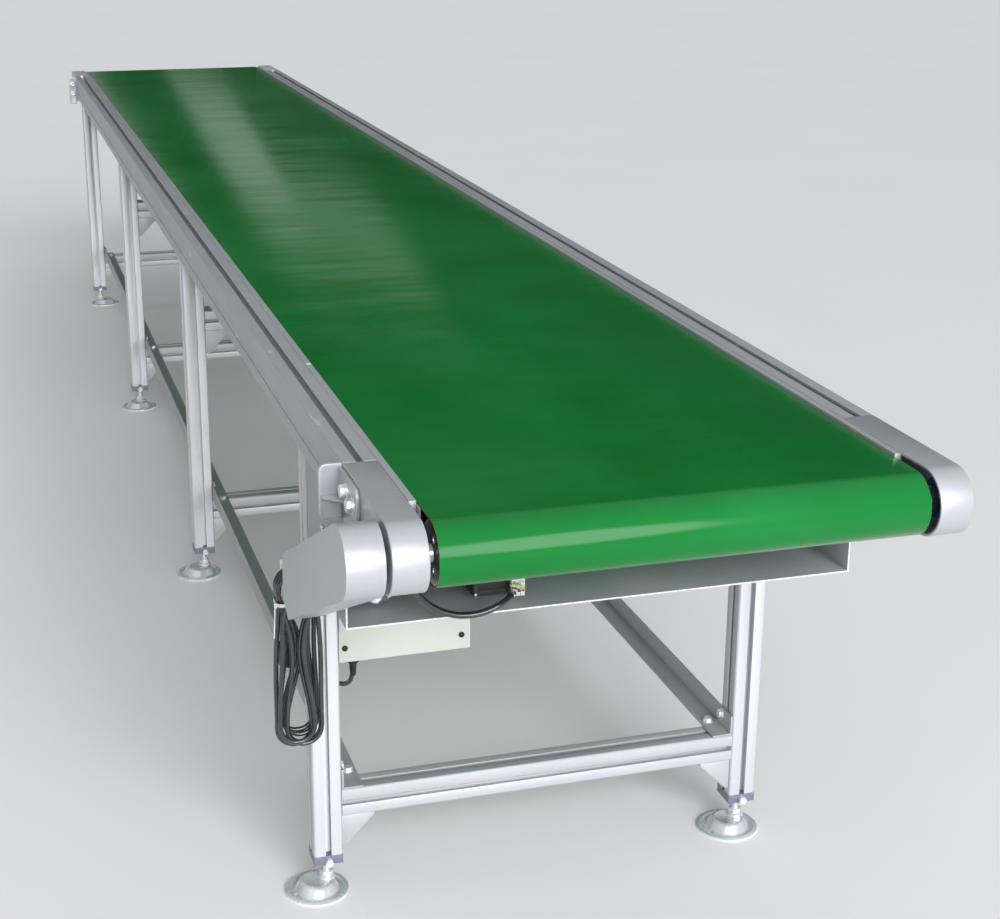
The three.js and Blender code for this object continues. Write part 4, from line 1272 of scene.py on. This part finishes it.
def make_motor_wiring():
    """The terminal block beside the motor's terminal box, and the three wires to it."""
    block = add_block(at(-0.1165, 0.0390, 0.5060), at(-0.0995, 0.0472, 0.5300))
    for x in (-0.1135, -0.1080, -0.1025):
        cut_away(block, add_rod("Y", 0.0017, at(x, 0.034, 0.5240), 0.0085, 16))
        cut_away(block, add_rod("Y", 0.0013, at(x, 0.034, 0.5130), 0.0080, 16))
    for x in (-0.11075, -0.10525):
        cut_away(block, add_block(at(x - 0.0004, 0.0380, 0.5050), at(x + 0.0004, 0.0410, 0.5310)))
    finished(soften(block, 0.0005), "terminal_block", "frame", WHITE_PLASTIC)
    for name, paint, lift, x in (("earth_wire", YELLOW_GREEN, 0.006, -0.1025),
                                 ("brown_wire", BROWN_WIRE, 0.001, -0.1080),
                                 ("blue_wire", BLUE_WIRE, -0.005, -0.1135)):
        wire = tube(name, [
            at(-0.1220, 0.0375, 0.5202), at(-0.1205, 0.0330, 0.5205 + lift / 2),
            at(-0.1170, 0.0300, 0.5200 + lift), at((x - 0.1170) / 2, 0.0290, 0.5190 + lift),
            at(x, 0.0310, 0.5150 + lift / 2), at(x, 0.0370, 0.5130)], 0.0020, paint, 3)
        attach(wire, "frame")


def make_shaft_details():
    """Collars on the drums' shafts and the seal rings on the head bearings."""
    radius = (belt_high.z - belt_low.z) / 2
    head_y, tail_y = belt_low.y + radius, belt_high.y - radius
    axis_z = belt_low.z + radius
    for side, sign in SIDES:
        start = MIDDLE_X + (0.2900 if sign > 0 else -0.3030)
        collar = add_rod("X", 0.0165, (start, head_y, axis_z), 0.0130, 48)
        work(collar, RIGHT, (0.0022,), (-0.0008, 0, 0))
        work(collar, LEFT, (0.0022,), (0.0008, 0, 0))
        cut_away(collar, add_rod("Z", 0.0025, (start + 0.0065, head_y, axis_z + 0.0125), 0.01, 6))
        soften(collar, 0.0006)
        finished(collar, f"head_collar_{side}", "drive_drum", TURNED_STEEL)
        start = MIDDLE_X + (0.3040 if sign > 0 else -0.3066)
        seal = add_rod("X", 0.0225, (start, head_y, axis_z), 0.0026, 48)
        work(seal, (-sign, 0, 0), (0.0035,), (sign * 0.0009, 0, 0))
        cut_away(seal, add_rod("X", 0.0112, (start - 0.01, head_y, axis_z), 0.03, 48))
        finished(soften(seal, 0.0004), f"head_seal_{side}", "frame", BLUE_SEAL)
        start = MIDDLE_X + (0.2885 if sign > 0 else -0.2985)
        collar = add_rod("X", 0.0155, (start, tail_y, axis_z), 0.0100, 48)
        for face in (RIGHT, LEFT):
            work(collar, face, (0.002,))
        soften(collar, 0.0008)
        finished(collar, f"tail_collar_{side}", "tail_drum", TURNED_STEEL)


# ---- Electrical box, trough and small fittings -------------------------------------------------


def make_control_details():
    """The box's front screws and hanging tab, and the devices on its rail inside."""
    fastened("control_box_screws", pan_screw(0.0040, 0.0028), (
        (at(-0.2790, 0.2458, 0.3655), FRONT, 0.4),
        (at(-0.1190, 0.2458, 0.3655), FRONT, 1.1)), BLACK_PLASTIC)
    tab = add_block(at(-0.2866, 0.2432, 0.3900), at(-0.2730, 0.2458, 0.4952))
    inner = at(-0.28, 0, 0).x
    rounded(tab, 0.007, 1, lambda point, line: abs(line.y) > 0.9 and point.z < 0.3905
            and point.x > inner)
    finished(soften(tab, 0.0004), "control_box_tab", "frame", PALE_SHEET)
    rail = add_block(at(-0.2700, 0.2480, 0.3670), at(-0.1250, 0.2500, 0.4020))
    work(rail, BACK, (0.006,), (0, 0.0040, 0))
    finished(soften(rail, 0.0005), "device_rail", "frame", ZINC)
    case = add_block(at(-0.1900, 0.2550, 0.3600), at(-0.1450, 0.2850, 0.4100))
    work(case, BACK, (0.006,), (0, 0.0070, 0), (0.008,), (0, 0.0035, 0))
    finished(soften(case, 0.0010), "contactor", "frame", BLACK_PLASTIC)
    clamp = add_block((0, 0, 0), (0.0052, 0.0260, 0.0380))
    work(clamp, BACK, (0.0010,), (0, -0.0015, 0))
    soften(clamp, 0.0004)
    row = [copied(clamp, Matrix.Translation(at(-0.2650 + 0.0056 * step, 0.2545, 0.3655)))
           for step in range(11)]
    bpy.data.objects.remove(clamp)
    finished(joined(*row), "box_terminals", "frame", WHITE_PLASTIC)


def make_small_fittings():
    """Fasteners of the edge strip, the trough's flanges and the hook plate."""
    fastened("edge_strip_screw", pan_screw(0.0036, 0.0022), ((at(-0.2855, 0.4120, 0.7088), UP, 0.3),))
    fastened("trough_bolts", hex_bolt(0.0060, 0.0040), [
        (at(sign * 0.3120, y, 0.6412), DOWN, y * 9) for _, sign in SIDES for y in (0.0330, 0.2270)])
    fastened("hook_plate_bolts", hex_bolt(0.0060, 0.0040), [
        (at(x, 0.2415, 0.4900), FRONT, 0.4) for x in (-0.3180, -0.2980)])


# ---- Studio ------------------------------------------------------------------------------------


def make_floor():
    clear_selection()
    bpy.ops.mesh.primitive_plane_add(size=80, location=(0, 10, 0))
    floor = apply_place()
    floor.name = "studio_floor"
    painted(floor, floor_finish())


def aimed(light, target):
    light.rotation_mode = "QUATERNION"
    light.rotation_quaternion = (Vector(target) - light.location).to_track_quat("-Z", "Y")


def add_area(name, place, target, size, power):
    data = bpy.data.lights.new(name, "AREA")
    data.shape = "RECTANGLE"
    data.size, data.size_y = size
    data.energy = power
    light = bpy.data.objects.new(name, data)
    bpy.context.scene.collection.objects.link(light)
    light.location = place
    light.visible_camera = False
    light.visible_glossy = False
    aimed(light, target)


def add_sun(name, direction, strength, softness):
    data = bpy.data.lights.new(name, "SUN")
    data.energy = strength
    data.angle = math.radians(softness)
    light = bpy.data.objects.new(name, data)
    bpy.context.scene.collection.objects.link(light)
    light.location = Vector(direction) * 10
    aimed(light, (0, 0, 0))


def band(tree, value, low, high, soft):
    """One between low and high, fading to nothing over a soft edge."""
    return arithmetic(tree, "MULTIPLY", span(tree, value, low - soft, low),
                      span(tree, value, high + soft, high))


def make_world():
    """A soft room: bright above and behind the head end, dim beyond the tail, with pale patches
    such as windows give."""
    world = bpy.data.worlds.new("soft_studio")
    bpy.context.scene.world = world
    world.use_nodes = True
    tree = world.node_tree
    tree.nodes.clear()
    direction = node(tree, "ShaderNodeTexCoord").outputs["Generated"]
    parts = node(tree, "ShaderNodeSeparateXYZ", {0: direction})
    rise = span(tree, parts.outputs["Z"], 0.35, 0.95)
    walls = mixed(tree, rise, (0.26, 0.265, 0.28, 1), (0.6, 0.61, 0.63, 1))
    behind = span(tree, parts.outputs["Y"], -0.25, -0.85)
    lit = mixed(tree, behind, walls, (0.85, 0.85, 0.9, 1))
    ahead = span(tree, parts.outputs["Y"], 0.25, 0.75)
    low = span(tree, parts.outputs["Z"], 0.62, 0.38)
    dim = arithmetic(tree, "MULTIPLY", ahead, low)
    turn = arithmetic(tree, "DIVIDE", parts.outputs["X"], parts.outputs["Y"])
    height = parts.outputs["Z"]
    tall = arithmetic(tree, "MULTIPLY", band(tree, turn, 0.118, 0.162, 0.012),
                      band(tree, height, 0.09, 0.21, 0.02))
    wide = arithmetic(tree, "MULTIPLY", band(tree, turn, 0.13, 0.25, 0.03),
                      band(tree, height, 0.18, 0.22, 0.03))
    side = arithmetic(tree, "MULTIPLY", band(tree, turn, -0.9, 0.02, 0.03),
                      band(tree, height, 0.0, 0.3, 0.05))
    window = arithmetic(tree, "MAXIMUM", arithmetic(tree, "MAXIMUM", tall, wide), side)
    far_wall = mixed(tree, window, (0.02, 0.024, 0.024, 1), (0.50, 0.55, 0.50, 1))
    colour = mixed(tree, dim, lit, far_wall)
    seen = node(tree, "ShaderNodeLightPath").outputs["Is Camera Ray"]
    shown = mixed(tree, seen, colour, (0.74, 0.75, 0.77, 1))
    sky = node(tree, "ShaderNodeBackground", {"Color": shown, "Strength": 0.9})
    node(tree, "ShaderNodeOutputWorld", {"Surface": sky.outputs[0]})


def make_studio():
    make_floor()
    make_world()
    add_sun("key_light", (0.10, -1.0, 0.36), 2.6, 40)
    add_area("front_softbox", at(0.2, -3.2, 2.3), at(0.0, 0.0, 0.6), (2.4, 1.6), 45)
    scene = bpy.context.scene
    scene.view_settings.view_transform = "Standard"
    scene.view_settings.look = "None"
    scene.view_settings.exposure = 0.0


# ---- CAD nodes that keep their shape -----------------------------------------------------------


def sided(*names):
    """Each name for the left side and for the right one."""
    return [f"{name}_{side}" for side, _ in SIDES for name in names]


def numbered(name, numbers):
    return [f"{name}_{number}" for number in numbers]


# Each row: finish, width and steps of the rounded edges, and the nodes.
REFINED = (
    # The rails, edge strips and braces take the aluminium darkened with painted shade.
    (ANODISED_Y_PAINTED_SHADE, 0.0007, 2, sided("side_rail")),
    (ANODISED_Y_PAINTED_SHADE, 0.0006, 2, sided("edge_strip", "long_brace")),
    (ANODISED_X, 0.0005, 2, numbered("lower_cross_member", LEG_PAIRS)
     + numbered("upper_cross_member", MIDDLE_PAIRS) + numbered("bed_stretcher", MIDDLE_PAIRS)),
    (LEG, 0.0005, 2, numbered("leg_left", LEG_PAIRS) + numbered("leg_right", LEG_PAIRS)),
    (CAST_PAINT, 0.0015, 3, sided("head_bracket", "tail_bracket") + ["chain_guard"]),
    (TROUGH_SHEET, 0.0004, 2, ["head_trough"]),
    (GREY_SHEET, 0.0004, 2, ["slider_bed", "guard_back_plate"]),
    (PALE_SHEET, 0.0006, 2, ["control_box"]),
    (ZINC, 0.0008, 2, ["cable_hook"]),
    (BLACK_PLASTIC, 0.0006, 2, ["power_switch"]),
    (TURNED_STEEL, 0.0005, 2, ["drive_drum", "tail_drum"] + numbered("return_roller", MIDDLE_PAIRS)),
    (BEARING_STEEL, 0.001, 2, sided("head_bearing", "tail_bearing_block")),
    (OILED_STEEL, 0.0002, 2, ["driven_sprocket", "motor_sprocket", "drive_chain"]))

# ---- The whole conveyor ------------------------------------------------------------------------

make_camera()
declare_cords()
make_belt()
make_gussets()
make_brace_bolts()
make_leg_end_bolts()
make_roller_brackets()
make_corner_castings()
make_feet()
make_motor()
make_gearbox_details()
make_motor_wiring()
make_shaft_details()
make_control_details()
make_small_fittings()
for finish, width, steps, nodes in REFINED:
    for node_name in nodes:
        refined(node_name, finish, width, steps)
make_studio()
